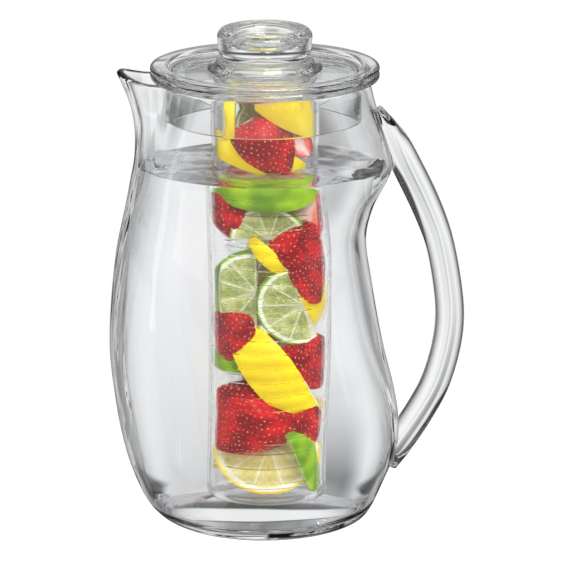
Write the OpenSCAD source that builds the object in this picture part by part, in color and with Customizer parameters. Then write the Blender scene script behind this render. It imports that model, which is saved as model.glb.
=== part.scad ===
// Fruit infuser pitcher: a clear jug with a bonded handle, a drop-in lid, a screw knob and a slotted
// fruit tube that hangs in the water, loaded with lime, lemon and strawberry.
// Millimetres. The origin is the centre of the base's underside, +Z is up, +X points to the handle
// and the spout is on the -X side.

/* [Pitcher body] */
// Height of the rim above the table
body_h = 245; // [225:1:270]
// Outer radius of the round mouth
rim_r = 56; // [52:0.5:60]
// Reach of the belly on the spout's side
belly_spout_r = 85; // [80:0.5:92]
// Reach of the belly on the handle's side, low down
belly_handle_r = 73.4; // [70:0.2:80]
// Half depth of the belly, from its middle to the front
belly_depth_r = 78; // [74:0.5:86]
// Reach of the waist behind the handle
waist_r = 54.8; // [52:0.2:60]
// Reach of the shoulder that carries the handle's upper end
shoulder_r = 69.4; // [66:0.2:74]
// Radius of the flat that the jug stands on
foot_r = 50; // [44:0.5:54]
// Thickness of the wall
wall_t = 3.8; // [3:0.1:4.5]
// Height of the inside floor above the table
floor_h = 7.5; // [5:0.5:8]
// Extra thickness where the wall meets the floor
heel_t = 1.5; // [0.5:0.1:4]
// Height over which the heel thins out to the wall
heel_h = 5; // [3:0.5:10]

/* [Spout] */
// Reach of the spout's tip beyond the mouth
spout_reach = 24.5; // [18:0.5:28]
// Rise of the spout's tip above the rim
spout_rise = 5; // [2:0.5:8]
// Height of the channel that leads up to the spout
spout_channel_h = 50; // [35:1:60]
// Half of the spout's opening angle at the rim, in degrees
spout_half_angle = 26; // [22:1:30]

/* [Handle] */
// Reach of the grip's outer edge from the jug's axis
handle_reach = 108.7; // [102:0.5:116]
// Thickness of the grip, seen from the side
handle_t = 15.8; // [13:0.2:18]
// Width of the grip, front to back
handle_w = 19; // [15:0.5:23]
// Height of the upper end's tip
handle_top_h = 228; // [215:1:236]
// Height of the lower end
handle_foot_h = 30.6; // [25:0.5:45]

/* [Lid] */
// Radius of the lid over its rolled lip
lid_r = 61.6; // [59.6:0.2:64]
// Height of the rolled lip
lip_h = 7.5; // [6.5:0.1:9]
// Width of the rolled lip
lip_w = 10; // [8:0.5:11]
// Thickness of the recessed plate
plate_t = 4.4; // [3:0.1:5]
// Depth of the skirt below the rim
skirt_h = 22; // [16:1:28]
// Thickness of the skirt
skirt_t = 2.4; // [2:0.1:3]
// Gap between the skirt and the mouth
skirt_gap = 0.5; // [0.3:0.1:1]

/* [Knob] */
// Height of the knob above the lid's plate
knob_h = 23; // [21:0.5:27]
// Radius of the knob's rolled head
knob_r = 25.5; // [24.5:0.1:27]
// Radius of the knob's waist
knob_waist_r = 24.7; // [24:0.1:25.2]
// Radius of the dimple in the knob's top
dimple_r = 16.4; // [13:0.2:17]
// Depth of the dimple
dimple_depth = 9.5; // [9.2:0.1:11]
// Radius of the knob's flange
knob_flange_r = 31; // [29:0.2:34]
// Thickness of the knob's flange
knob_flange_t = 3; // [2.4:0.1:3.6]
// Radius of the step above the flange
knob_step_r = 26.4; // [25.6:0.2:28]
// Wall of the knob
knob_wall = 3.6; // [2.8:0.1:3.8]

/* [Screw thread] */
// Radius of the neck where it runs in the lid's hub hole
neck_r = 24.4; // [23.8:0.1:25]
// Rise of the thread in one turn
thread_pitch = 3; // [2:0.5:3.5]
// Turns of the thread, and of the knob, until the tube is free
thread_turns = 1.5; // [1:0.5:1.5]
// Depth of the thread
thread_depth = 1; // [0.6:0.1:1.1]
// Radial gap between the neck and the hub hole
neck_gap = 0.08; // [0.05:0.01:0.1]

/* [Infuser tube] */
// Outer radius of the tube at its top
tube_top_r = 29; // [28:0.2:29.8]
// Outer radius of the tube at its bottom
tube_bottom_r = 26.6; // [25.6:0.2:27.6]
// Height of the tube's underside above the table
tube_foot_h = 17.4; // [14:0.2:20]
// Thickness of the tube's wall
tube_wall = 2.3; // [1.8:0.1:2.6]
// Thickness of the tube's floor
tube_floor_t = 3; // [2.4:0.2:4]
// Height of the threaded collar
collar_h = 6; // [5.6:0.2:8]
// Height of one slot
slot_h = 2.6; // [2:0.1:3.4]
// Step from one row of slots to the next
slot_pitch = 7.7; // [6.5:0.1:9]
// Width of one slot, measured straight across
slot_w = 43; // [34:0.5:46]
// Rows of slots start this far above the tube's underside
slot_start = 10.5; // [9:0.5:20]
// Rows of slots end this far below the tube's top
slot_end = 50; // [40:1:80]

/* [Fruit] */
// Radius of a lime
lime_r = 24; // [21:0.5:26]
// Radius of a lemon
lemon_r = 27; // [24:0.5:29]
// Half length of a lime
lime_half_l = 26; // [24:0.5:28]
// Half length of a lemon
lemon_half_l = 34; // [31:0.5:37]
// Thickness of a citrus slice
slice_t = 6; // [5:0.2:7]
// Radius of a strawberry at its widest
berry_r = 15; // [13:0.5:16]
// Length of a strawberry
berry_l = 36; // [32:0.5:40]

/* [Hidden] */
// Gap that keeps the lid just off the rim, and the knob just off the lid
seat_gap = 0.1;
// Gap between a piece of fruit and what it leans on
fruit_gap = 0.3;
// Gap between the handle's ends and the wall that they are bonded to
bond_gap = 0.1;
// Overrun of a cut past a face
cut = 1;
// Heights of the lid's underside and of the plate's top
lid_z = body_h + seat_gap;
plate_z = lid_z + plate_t;
knob_z = plate_z + seat_gap;
// Radius of the skirt
skirt_r = rim_r - wall_t - skirt_gap;
// The thread's root, with the collar that it screws into
thread_l = thread_pitch * thread_turns;
thread_root_r = neck_r - thread_depth;
thread_root_half = 0.25 * thread_pitch;
thread_crest_half = 0.1 * thread_pitch;
thread_gap = 0.1 * thread_pitch;
rib_turns = thread_turns - 0.5;
// The tube hangs from the collar, just under the lid
tube_top_z = lid_z - seat_gap;
tube_h = tube_top_z - tube_foot_h;
bore_bottom_z = tube_foot_h + tube_floor_t;
bore_bottom_r = tube_bottom_r - tube_wall;
bore_top_r = tube_top_r - tube_wall;
collar_r = thread_root_r + neck_gap;
collar_z = tube_top_z - collar_h;
bore_end_z = collar_z - (bore_top_r - collar_r);
// Facets round the jug, and rings up its outside and its inside
sides = 56;
outer_rings = 42;
inner_rings = 34;
rim_rings = 5;
// Facets round the grip, and rings along it
grip_sides = 20;
grip_rings = 40;
// Points on a quarter round of a turned profile
round_n = 6;
$fn = 96;

// Side of the jug on the spout's side, [height, reach], without the spout
spout_side = [
    [0, foot_r],
    [0.008 * body_h, 0.68 * belly_spout_r],
    [0.05 * body_h, 0.79 * belly_spout_r],
    [0.167 * body_h, 0.913 * belly_spout_r],
    [0.33 * body_h, 0.989 * belly_spout_r],
    [0.43 * body_h, belly_spout_r],
    [0.60 * body_h, 0.956 * belly_spout_r],
    [0.72 * body_h, 0.884 * belly_spout_r],
    [0.82 * body_h, 0.822 * belly_spout_r],
    [0.92 * body_h, 1.095 * rim_r],
    [body_h, rim_r]
];
// Side of the jug on the handle's side: belly, waist, shoulder and mouth
handle_side = [
    [0, foot_r],
    [0.008 * body_h, 0.77 * belly_handle_r],
    [0.085 * body_h, 0.894 * belly_handle_r],
    [0.15 * body_h, 0.98 * belly_handle_r],
    [0.215 * body_h, belly_handle_r],
    [0.285 * body_h, 0.968 * belly_handle_r],
    [0.40 * body_h, 0.874 * belly_handle_r],
    [0.55 * body_h, 1.05 * waist_r],
    [0.645 * body_h, waist_r],
    [0.72 * body_h, 1.08 * waist_r],
    [0.775 * body_h, 0.955 * shoulder_r],
    [0.81 * body_h, shoulder_r],
    [0.845 * body_h, 0.972 * shoulder_r],
    [0.94 * body_h, 1.065 * rim_r],
    [body_h, rim_r]
];
// Front and back of the jug
depth_side = [
    [0, foot_r],
    [0.008 * body_h, 0.708 * belly_depth_r],
    [0.073 * body_h, 0.866 * belly_depth_r],
    [0.19 * body_h, 0.975 * belly_depth_r],
    [0.31 * body_h, belly_depth_r],
    [0.43 * body_h, 0.985 * belly_depth_r],
    [0.55 * body_h, 0.93 * belly_depth_r],
    [0.68 * body_h, 0.833 * belly_depth_r],
    [0.80 * body_h, 1.05 * rim_r],
    [0.89 * body_h, 1.013 * rim_r],
    [body_h, rim_r]
];

// Slope of a smooth curve through [height, value] knots, at one knot
function knot_slope(k, i) =
    let (a = max(i - 1, 0), b = min(i + 1, len(k) - 1)) (k[b][1] - k[a][1]) / (k[b][0] - k[a][0]);
// Value of that curve between the knots i and i + 1
function knot_span(k, i, z) =
    let (h = k[i + 1][0] - k[i][0], t = (z - k[i][0]) / h, t2 = t * t, t3 = t2 * t)
    (2 * t3 - 3 * t2 + 1) * k[i][1] + (t3 - 2 * t2 + t) * h * knot_slope(k, i)
    + (3 * t2 - 2 * t3) * k[i + 1][1] + (t3 - t2) * h * knot_slope(k, i + 1);
// Value of that curve at any height
function smooth(k, z, i = 0) =
    i >= len(k) - 2 || z < k[i + 1][0] ? knot_span(k, i, max(z, k[0][0])) : smooth(k, z, i + 1);

// Section of the jug at a height: half width, half depth, and the middle's place along X
function half_width(z) = (smooth(spout_side, z) + smooth(handle_side, z)) / 2;
function half_depth(z) = smooth(depth_side, z);
function middle_x(z) = (smooth(handle_side, z) - smooth(spout_side, z)) / 2;
// The spout is a rounded fold in the wall, 1 at its middle and 0 at its edges
function spout_channel(z) = max(0, (z - body_h + spout_channel_h) / spout_channel_h);
function spout_angle(z) = spout_half_angle * (1 + 0.55 * (1 - spout_channel(z)));
function spout_fold(a, z) =
    let (off = abs(180 - a) / spout_angle(z)) off > 1 ? 0 : (1 + cos(180 * off)) / 2;
function spout_out(a, z) = spout_reach * spout_fold(a, z) * pow(spout_channel(z), 1.7);
function spout_up(a) = spout_rise * pow(max(0, (spout_fold(a, body_h) - 0.4) / 0.6), 1.5);
// A point of the jug's wall at an angle and a height, drawn in by a thickness
function wall_point(a, z, in) =
    let (out = spout_out(a, z) - in)
    [
        middle_x(z) + (half_width(z) + out) * cos(a),
        (half_depth(z) + out) * sin(a),
        z + spout_up(a) * pow(z / body_h, 6)
    ];
// Reach of the jug's outside on the handle's side, off the middle by y
function flank_x(y, z) =
    middle_x(z) + half_width(z) * sqrt(max(0, 1 - pow(y / half_depth(z), 2)));

// Faces of a closed tube of rings, each of n points, whose ends meet in a first and a last point
function ring_faces(n, rings) = concat(
    [for (i = [0:n - 1]) [0, 1 + i, 1 + (i + 1) % n]],
    [for (r = [0:rings - 2], i = [0:n - 1])
        let (a = 1 + r * n + i, b = 1 + r * n + (i + 1) % n) [a, a + n, b + n, b]],
    [for (i = [0:n - 1])
        let (a = 1 + (rings - 1) * n) [1 + rings * n, a + (i + 1) % n, a + i]]
);

// Points of a round corner, from one angle to another
function arc(x, y, r, from, to) =
    [for (i = [0:round_n]) let (a = from + (to - from) * i / round_n) [x + r * cos(a), y + r * sin(a)]];

// The jug: one shell, from the underside up the outside, over the rim and down the inside
module pitcher_body() {
    rim_h = body_h - wall_t / 2;
    outer = [for (i = [0:outer_rings]) rim_h * pow(i / outer_rings, 1.3)];
    inner = [for (i = [0:inner_rings]) floor_h + (rim_h - floor_h) * pow(1 - i / inner_rings, 1.4)];
    steps = [for (i = [0:sides - 1]) 360 * i / sides];
    function heel(z) = heel_t * pow(max(0, 1 - (z - floor_h) / heel_h), 2);
    points = concat(
        [[0, 0, 0]],
        [for (z = outer, a = steps) wall_point(a, z, 0)],
        [for (i = [1:rim_rings], a = steps)
            let (turn = 180 * i / (rim_rings + 1))
            wall_point(a, rim_h, wall_t / 2 * (1 - cos(turn))) + [0, 0, wall_t / 2 * sin(turn)]],
        [for (z = inner, a = steps) wall_point(a, z, wall_t + heel(z))],
        [[0, 0, floor_h]]
    );
    rings = outer_rings + 1 + rim_rings + inner_rings + 1;
    color("gainsboro", 0.35) polyhedron(points, ring_faces(sides, rings), convexity = 6);
}

// Middle line of the grip from its upper tip to its foot: reach, height, thickness and width shares
grip_shares = [
    [0.564, 1.00, 0.25, 0.75],
    [0.610, 0.952, 0.62, 0.95],
    [0.650, 0.906, 0.92, 1.05],
    [0.697, 0.851, 1.02, 1.08],
    [0.772, 0.768, 1.04, 1.03],
    [0.830, 0.694, 1.02, 1.00],
    [0.876, 0.618, 0.97, 1.00],
    [0.914, 0.505, 0.98, 1.00],
    [0.928, 0.412, 1.00, 1.00],
    [0.909, 0.321, 1.01, 1.00],
    [0.858, 0.222, 1.02, 1.00],
    [0.791, 0.149, 1.02, 1.02],
    [0.733, 0.096, 1.02, 1.06],
    [0.671, 0.045, 1.02, 1.10],
    [0.609, 0.000, 1.02, 1.10]
];
// The grip line as one smooth curve: reach, height, half thickness and half width
function grip_knots(column, size, base) =
    [for (i = [0:len(grip_shares) - 1]) [i, base + size * grip_shares[i][column]]];
grip_x = grip_knots(0, handle_reach, 0);
grip_z = grip_knots(1, handle_top_h - handle_foot_h, handle_foot_h);
grip_thick = grip_knots(2, handle_t / 2, 0);
grip_wide = grip_knots(3, handle_w / 2, 0);
function grip_middle(t) = [smooth(grip_x, t), smooth(grip_z, t)];
// A point of the grip's surface, kept outside the jug's wall
function grip_point(t, a) =
    let (
        span = len(grip_shares) - 1,
        nudge = 0.01,
        way = grip_middle(min(t + nudge, span)) - grip_middle(max(t - nudge, 0)),
        out = [-way[1], way[0]] / norm(way),
        mid = grip_middle(t) + out * smooth(grip_thick, t) * cos(a),
        y = smooth(grip_wide, t) * sin(a)
    )
    [max(mid[0], flank_x(y, mid[1]) + bond_gap), y, mid[1]];

// The handle: a swept oval bow, with both ends laid against the jug
module handle() {
    span = len(grip_shares) - 1;
    steps = [for (i = [0:grip_sides - 1]) 360 * i / grip_sides];
    stations = [for (i = [0:grip_rings - 1]) span * i / (grip_rings - 1)];
    function grip_end(t) = let (ring = [for (a = steps) grip_point(t, a)]) ring * 0 == 0 ? ring[0]
        : [for (k = [0:2]) let (s = [for (p = ring) p[k]]) (max(s) + min(s)) / 2];
    points = concat(
        [grip_end(0)],
        [for (t = stations, a = steps) grip_point(t, a)],
        [grip_end(span)]
    );
    color("whitesmoke", 0.5) polyhedron(points, ring_faces(grip_sides, grip_rings), convexity = 6);
}

// The lid: a lip rolled in two rings, recessed plate, skirt and hub hole in one turned profile
module lid_cover() {
    hole_r = neck_r + neck_gap;
    low_ring_r = 0.28 * lip_h;
    high_ring_r = 0.22 * lip_h;
    corner_r = 0.8 * (lip_h - plate_t);
    inner_lip = lid_r - lip_w;
    profile = concat(
        [[hole_r, lid_z], [skirt_r - skirt_t, lid_z]],
        [[skirt_r - skirt_t, lid_z - skirt_h], [skirt_r, lid_z - skirt_h], [skirt_r, lid_z]],
        arc(lid_r - low_ring_r, lid_z + low_ring_r, low_ring_r, -90, 60),
        arc(lid_r - high_ring_r, lid_z + lip_h - high_ring_r, high_ring_r, -60, 90),
        arc(inner_lip + corner_r, lid_z + lip_h - corner_r, corner_r, 90, 150),
        [[inner_lip, plate_z], [hole_r, plate_z]]
    );
    color("whitesmoke", 0.5) rotate_extrude() polygon(profile);
}

// A right-hand helical rib, swept as one solid that starts at angle 0: turns, radii of root and crest,
// and how far its section is grown on each side
module thread_rib(turns, root, crest, grow) {
    per_turn = 32;
    n = per_turn * turns;
    z = lid_z - thread_l + thread_root_half;
    low = thread_root_half + grow;
    high = thread_crest_half + grow;
    section = [[root, -low], [crest, -high], [crest, high], [root, low]];
    points = [for (i = [0:n], p = section)
        let (a = 360 * i / per_turn) [p[0] * cos(a), p[0] * sin(a), z + thread_pitch * i / per_turn + p[1]]];
    walls = [for (i = [0:n - 1], k = [0:3])
        let (a = 4 * i + k, b = 4 * i + (k + 1) % 4) [a, b, b + 4, a + 4]];
    polyhedron(points, concat([[3, 2, 1, 0]], walls, [[4 * n, 4 * n + 1, 4 * n + 2, 4 * n + 3]]));
}

// The knob: threaded neck, stepped flange, waist, rolled head and dimple
module knob() {
    top = knob_z + knob_h;
    head_r = (knob_r - dimple_r) / 2;
    floor_r = min(head_r, dimple_depth - head_r);
    bore_r = neck_r - knob_wall - thread_depth / 2;
    hollow_top = top - dimple_depth - knob_wall;
    edge = knob_flange_t / 2.4;
    step_top = knob_z + 2 * knob_flange_t;
    side_l = top - head_r - step_top;
    profile = concat(
        [[0, hollow_top], [bore_r - knob_wall, hollow_top], [bore_r, hollow_top - knob_wall]],
        [[bore_r, lid_z - thread_l], [thread_root_r, lid_z - thread_l], [thread_root_r, lid_z]],
        [[neck_r, lid_z], [neck_r, knob_z]],
        arc(knob_flange_r - edge, knob_z + edge, edge, -90, 90),
        [[knob_step_r + edge, knob_z + knob_flange_t]],
        arc(knob_step_r - edge, step_top - edge, edge, 0, 90),
        [[knob_waist_r, step_top + 0.15 * side_l], [(knob_waist_r + knob_r) / 2, step_top + 0.6 * side_l]],
        arc(knob_r - head_r, top - head_r, head_r, 0, 180),
        arc(dimple_r - floor_r, top - dimple_depth + floor_r, floor_r, 0, -90),
        [[0, top - dimple_depth]]
    );
    color("lightgray", 0.5) {
        rotate_extrude() polygon(profile);
        thread_rib(rib_turns, thread_root_r - thread_depth / 2, neck_r - 2 * neck_gap, 0);
    }
}

// The tube's inside, drawn in by a gap
module tube_bore(gap) {
    translate([0, 0, bore_bottom_z + gap])
        cylinder(r1 = bore_bottom_r - gap, r2 = bore_top_r - gap, h = bore_end_z - bore_bottom_z - 2 * gap);
}

// The tube: drafted wall, closed floor, threaded collar, and rows of slots in its front and its back
module infuser_tube() {
    heel = 2 * tube_wall;
    rows = floor((tube_h - slot_start - slot_end) / slot_pitch);
    profile = concat(
        [[0, tube_foot_h], [tube_bottom_r / 2, tube_foot_h]],
        arc(tube_bottom_r - heel, tube_foot_h + heel, heel, -90, 0),
        [[tube_top_r, tube_top_z], [collar_r, tube_top_z], [collar_r, collar_z]],
        [[bore_top_r, bore_end_z]],
        arc(bore_bottom_r - tube_wall, bore_bottom_z + tube_wall, tube_wall, 0, -90),
        [[0, bore_bottom_z]]
    );
    color("white", 0.6) difference() {
        rotate_extrude() polygon(profile);
        thread_rib(rib_turns + thread_turns + 1 / 4, collar_r - thread_depth / 2, neck_r + thread_gap, thread_gap);
        for (row = [0:rows])
            translate([0, 0, tube_foot_h + slot_start + row * slot_pitch])
                cube([slot_w, 2 * (tube_top_r + cut), slot_h], center = true);
    }
}

// The fruit, the front pieces first. A later piece gives way to the earlier ones that it leans on.
// Name, kind, size share, wedge angle, place across as shares of the bore's radius, height as a share
// of the tube, and turns: round the tube, about the outward line, and about the line across it.
fruit_shares = [
    ["lemon_wedge_mid", "lemon_wedge", 1, 52, [0.12, 0.10], 0.306, [-92, 35, 0]],
    ["lime_half_centre", "lime_slice", 0.92, 0, [0.66, -0.58], 0.467, [-90, -72, 90]],
    ["lime_half_left", "lime_slice", 0.95, 0, [-0.22, -0.50], 0.495, [-98, -90, 90]],
    ["lime_wedge_top", "lime_wedge", 1, 36, [0.04, -0.08], 0.735, [-90, 90, 0]],
    ["strawberry_top", "berry", 1.1, 0, [0.00, -0.32], 0.855, [-84, 30, 0]],
    ["strawberry_large", "berry", 1.3, 0, [-0.33, -0.33], 0.187, [-90, 80, 0]],
    ["strawberry_right_upper", "berry", 0.9, 0, [0.60, -0.42], 0.605, [-75, -66, 0]],
    ["strawberry_right_lower", "berry", 0.85, 0, [0.82, -0.42], 0.538, [-60, 5, 0]],
    ["lime_slice_upper", "lime_slice", 0.78, 0, [0.04, -0.50], 0.626, [-90, 180, 90]],
    ["lemon_wedge_top", "lemon_wedge", 0.9, 50, [0.40, 0.12], 0.957, [-90, 58, 0]],
    ["lemon_wedge_low", "lemon_wedge", 0.9, 45, [-0.24, 0.30], 0.835, [-100, 70, 0]],
    ["lemon_slice_left", "lemon_slice", 0.60, 0, [-0.76, -0.10], 0.919, [180, 90, 90]],
    ["strawberry_chip", "berry", 0.6, 0, [0.62, -0.40], 0.865, [95, -40, 0]],
    ["lime_slice_back", "lime_slice", 0.6, 0, [-0.06, 0.05], 0.898, [-90, 180, 90]],
    ["lime_wedge_bottom", "lime_wedge", 0.8, 50, [0.45, -0.22], 0.091, [-40, 30, 0]],
    ["strawberry_small", "berry", 0.6, 0, [0.70, -0.40], 0.173, [-50, 20, 0]],
    ["lemon_slice_bottom", "lemon_slice", 0.93, 0, [0.04, -0.16], 0.121, [-90, 0, 82]],
    ["strawberry_mid_right", "berry", 0.85, 0, [0.70, -0.35], 0.324, [-60, 20, 0]],
    ["strawberry_left", "berry", 0.8, 0, [-0.64, -0.38], 0.393, [-130, 0, 0]],
    ["lime_wedge_left", "lime_wedge", 0.7, 34, [-0.34, 0.02], 0.324, [-140, 80, 0]],
    ["strawberry_upper_right", "berry", 0.9, 0, [0.70, -0.36], 0.683, [80, 20, 0]],
    ["strawberry_upper_left", "berry", 0.75, 0, [-0.70, -0.28], 0.686, [-140, 10, 0]],
    ["lemon_wedge_upper", "lemon_wedge", 0.4, 50, [0.02, -0.44], 0.586, [-90, 40, 0]],
    ["lemon_wedge_behind", "lemon_wedge", 0.9, 50, [0.08, 0.20], 0.486, [-35, 10, 0]],
    ["lemon_back_low", "lemon_wedge", 0.9, 60, [0, 0], 0.132, [85, 60, 0]],
    ["strawberry_back_low", "berry", 1.1, 0, [0.10, 0.35], 0.285, [80, 20, 0]],
    ["lime_back_mid", "lime_wedge", 1, 60, [0, 0.05], 0.428, [95, 80, 0]],
    ["lemon_back_high", "lemon_wedge", 0.9, 60, [0.05, 0.05], 0.581, [80, 30, 0]],
    ["strawberry_back_high", "berry", 1.1, 0, [-0.10, 0.35], 0.724, [100, -20, 0]],
    ["lime_back_top", "lime_wedge", 0.9, 60, [0, 0.10], 0.877, [85, 75, 0]]
];
// Columns of that table
fruit_kind = 1;
fruit_size = 2;
fruit_angle = 3;
fruit_across = 4;
fruit_height = 5;
fruit_turns = 6;
// Outline of a strawberry, as shares of its radius and its length, from the stalk end to the tip
berry_shares = [
    [0, 0.40], [0.5, 0.42], [0.85, 0.34], [1, 0.16], [0.94, -0.05],
    [0.74, -0.28], [0.44, -0.47], [0.19, -0.56], [0, -0.58]
];
lime_green = [0.55, 0.72, 0.12];
lime_flesh = [0.80, 0.87, 0.60];
lemon_yellow = [0.98, 0.84, 0.08];
lemon_flesh = [0.95, 0.90, 0.62];
berry_red = [0.72, 0.05, 0.08];

// A citrus wedge: its core on Z, its peel towards +X
module citrus_wedge(r, half_l, angle, grow) {
    back = grow / sin(angle / 2);
    reach = r + back + grow;
    tall = half_l + grow;
    outline = [for (i = [0:2 * round_n]) let (a = -90 + 90 * i / round_n) [reach * cos(a), tall * sin(a)]];
    translate([-back, 0, 0]) rotate([0, 0, -angle / 2])
        rotate_extrude(angle = angle) polygon(outline);
}

// The half of a round piece that lies on the +X side of its cut face
module half_of(r, tall, grow) {
    intersection() {
        children();
        translate([-grow, -r - cut, -tall]) cube([r + grow + cut, 2 * (r + cut), 2 * tall]);
    }
}

// Half a citrus slice: its faces across Z, its round edge towards +X
module citrus_slice(r, grow) {
    half_of(r + grow, slice_t, grow) cylinder(r = r + grow, h = slice_t + 2 * grow, center = true);
}

// Half a strawberry: its tip towards -Z, its round side towards +X
module berry(r, l, grow) {
    outline = [for (p = berry_shares) [p[0] == 0 ? 0 : p[0] * r + grow, p[1] * l + sign(p[1]) * grow]];
    half_of(r + grow, l, grow) rotate_extrude() polygon(outline);
}

// One piece of fruit by its row in the table, where it lies, grown by a gap
module fruit_at(row, grow) {
    kind = row[fruit_kind];
    size = row[fruit_size];
    across = row[fruit_across] * bore_bottom_r;
    turns = row[fruit_turns];
    translate([across[0], across[1], tube_foot_h + row[fruit_height] * tube_h])
        rotate([0, 0, turns[0]]) rotate([turns[1], 0, 0]) rotate([0, turns[2], 0])
            if (kind == "lime_wedge") citrus_wedge(size * lime_r, size * lime_half_l, row[fruit_angle], grow);
            else if (kind == "lemon_wedge")
                citrus_wedge(size * lemon_r, size * lemon_half_l, row[fruit_angle], grow);
            else if (kind == "lime_slice") citrus_slice(size * lime_r, grow);
            else if (kind == "lemon_slice") citrus_slice(size * lemon_r, grow);
            else berry(size * berry_r, size * berry_l, grow);
}

// How far a piece may reach from its place
function fruit_reach(row) =
    row[fruit_size] * (row[fruit_kind] == "berry" ? 0.6 * berry_l
        : row[fruit_kind] == "lemon_wedge" ? lemon_half_l
        : row[fruit_kind] == "lime_wedge" ? lime_half_l
        : row[fruit_kind] == "lemon_slice" ? lemon_r : lime_r);
function fruit_place(row) = [
    row[fruit_across][0] * bore_bottom_r,
    row[fruit_across][1] * bore_bottom_r,
    row[fruit_height] * tube_h
];

// One piece of fruit, pressed against the bore and cut back from the pieces that it leans on
module fruit_piece(name) {
    own = search([name], fruit_shares)[0];
    kind = fruit_shares[own][fruit_kind];
    shade = kind == "berry" ? berry_red
        : kind == "lime_wedge" ? lime_green
        : kind == "lemon_wedge" ? lemon_yellow
        : kind == "lime_slice" ? lime_flesh : lemon_flesh;
    color(shade) intersection() {
        tube_bore(fruit_gap);
        difference() {
            fruit_at(fruit_shares[own], 0);
            for (other = [0:1:own - 1]) {
                apart = norm(fruit_place(fruit_shares[own]) - fruit_place(fruit_shares[other]));
                if (apart < fruit_reach(fruit_shares[own]) + fruit_reach(fruit_shares[other]))
                    fruit_at(fruit_shares[other], fruit_gap);
            }
        }
    }
}

pitcher_body();
handle();
lid_cover();
knob();
infuser_tube();
fruit_piece("lemon_wedge_mid");  // lemon_wedge_mid
fruit_piece("lime_half_centre");  // lime_half_centre
fruit_piece("lime_half_left");  // lime_half_left
fruit_piece("lime_wedge_top");  // lime_wedge_top
fruit_piece("strawberry_top");  // strawberry_top
fruit_piece("strawberry_large");  // strawberry_large
fruit_piece("strawberry_right_upper");  // strawberry_right_upper
fruit_piece("strawberry_right_lower");  // strawberry_right_lower
fruit_piece("lime_slice_upper");  // lime_slice_upper
fruit_piece("lemon_wedge_top");  // lemon_wedge_top
fruit_piece("lemon_wedge_low");  // lemon_wedge_low
fruit_piece("lemon_slice_left");  // lemon_slice_left
fruit_piece("strawberry_chip");  // strawberry_chip
fruit_piece("lime_slice_back");  // lime_slice_back
fruit_piece("lime_wedge_bottom");  // lime_wedge_bottom
fruit_piece("strawberry_small");  // strawberry_small
fruit_piece("lemon_slice_bottom");  // lemon_slice_bottom
fruit_piece("strawberry_mid_right");  // strawberry_mid_right
fruit_piece("strawberry_left");  // strawberry_left
fruit_piece("lime_wedge_left");  // lime_wedge_left
fruit_piece("strawberry_upper_right");  // strawberry_upper_right
fruit_piece("strawberry_upper_left");  // strawberry_upper_left
fruit_piece("lemon_wedge_upper");  // lemon_wedge_upper
fruit_piece("lemon_wedge_behind");  // lemon_wedge_behind
fruit_piece("lemon_back_low");  // lemon_back_low
fruit_piece("strawberry_back_low");  // strawberry_back_low
fruit_piece("lime_back_mid");  // lime_back_mid
fruit_piece("lemon_back_high");  // lemon_back_high
fruit_piece("strawberry_back_high");  // strawberry_back_high
fruit_piece("lime_back_top");  // lime_back_top
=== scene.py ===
# %% [markdown]
# # A fruit infuser pitcher
# A clear moulded jug holds water. A slotted tube full of lime, lemon and strawberry hangs in it from
# the lid, and a screw knob above clamps the lid to the tube. Nearly everything here is seen through
# something else, so the order of work is: measure, shape each clear wall so that light bends cleanly
# in it, then cut the fruit with all its layers, then light it from behind like glass in a studio.

# %% Load the fixed frame
import math

import bmesh
import bpy
from mathutils import Matrix, Vector, noise


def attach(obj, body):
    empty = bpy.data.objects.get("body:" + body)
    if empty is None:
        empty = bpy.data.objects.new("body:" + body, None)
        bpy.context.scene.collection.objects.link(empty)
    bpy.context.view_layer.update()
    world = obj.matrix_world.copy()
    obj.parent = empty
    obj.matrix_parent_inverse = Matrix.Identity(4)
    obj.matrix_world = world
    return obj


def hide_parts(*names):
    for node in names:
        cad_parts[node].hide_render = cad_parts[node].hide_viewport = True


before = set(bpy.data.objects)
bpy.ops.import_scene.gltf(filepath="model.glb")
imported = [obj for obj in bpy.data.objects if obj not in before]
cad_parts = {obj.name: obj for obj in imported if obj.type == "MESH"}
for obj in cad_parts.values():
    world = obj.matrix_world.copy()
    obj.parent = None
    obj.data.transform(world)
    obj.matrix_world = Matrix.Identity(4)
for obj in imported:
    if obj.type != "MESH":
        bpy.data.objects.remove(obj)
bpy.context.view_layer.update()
MM = 0.001

# %% [markdown]
# ## The camera
# The photograph looks down a little from the front, from far away: the mouth is a flat ellipse and the
# two sides of the jug hardly converge. A long lens from nearly two metres gives that. The lens comes
# from the focal length in picture points over the longer side of the frame.

# %% Place the camera
FRAME_H = 569
FOCAL_POINTS = 3618
CAMERA_PLACE = (10 * MM, -1900 * MM, 658 * MM)
CAMERA_DROP = 528 * MM
SENSOR_W = 36
scene = bpy.context.scene


def linked(name, data):
    """A new object for some data, linked to the scene."""
    piece = bpy.data.objects.new(name, data)
    scene.collection.objects.link(piece)
    return piece


camera_data = bpy.data.cameras.new("camera")
camera_data.sensor_width = SENSOR_W
camera_data.lens = FOCAL_POINTS / FRAME_H * SENSOR_W
camera = linked("camera", camera_data)
camera.location = CAMERA_PLACE
camera.rotation_euler = (math.pi / 2 - math.atan2(CAMERA_DROP, -CAMERA_PLACE[1]), 0, 0)
scene.camera = camera
print("lens:", round(camera_data.lens, 1), "mm")

# %% [markdown]
# ## The sizes of the jug
# The jug isn't a turned shape. Its outline on the spout's side bows out, the side with the handle has a
# belly, a waist and a shoulder, and front and back swell evenly. Each of the three outlines is a list
# of heights and reaches, joined by one smooth curve. A glassy wall shows every kink in such a curve as
# a streak, so the curve is also eased with a short running mean.

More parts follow.
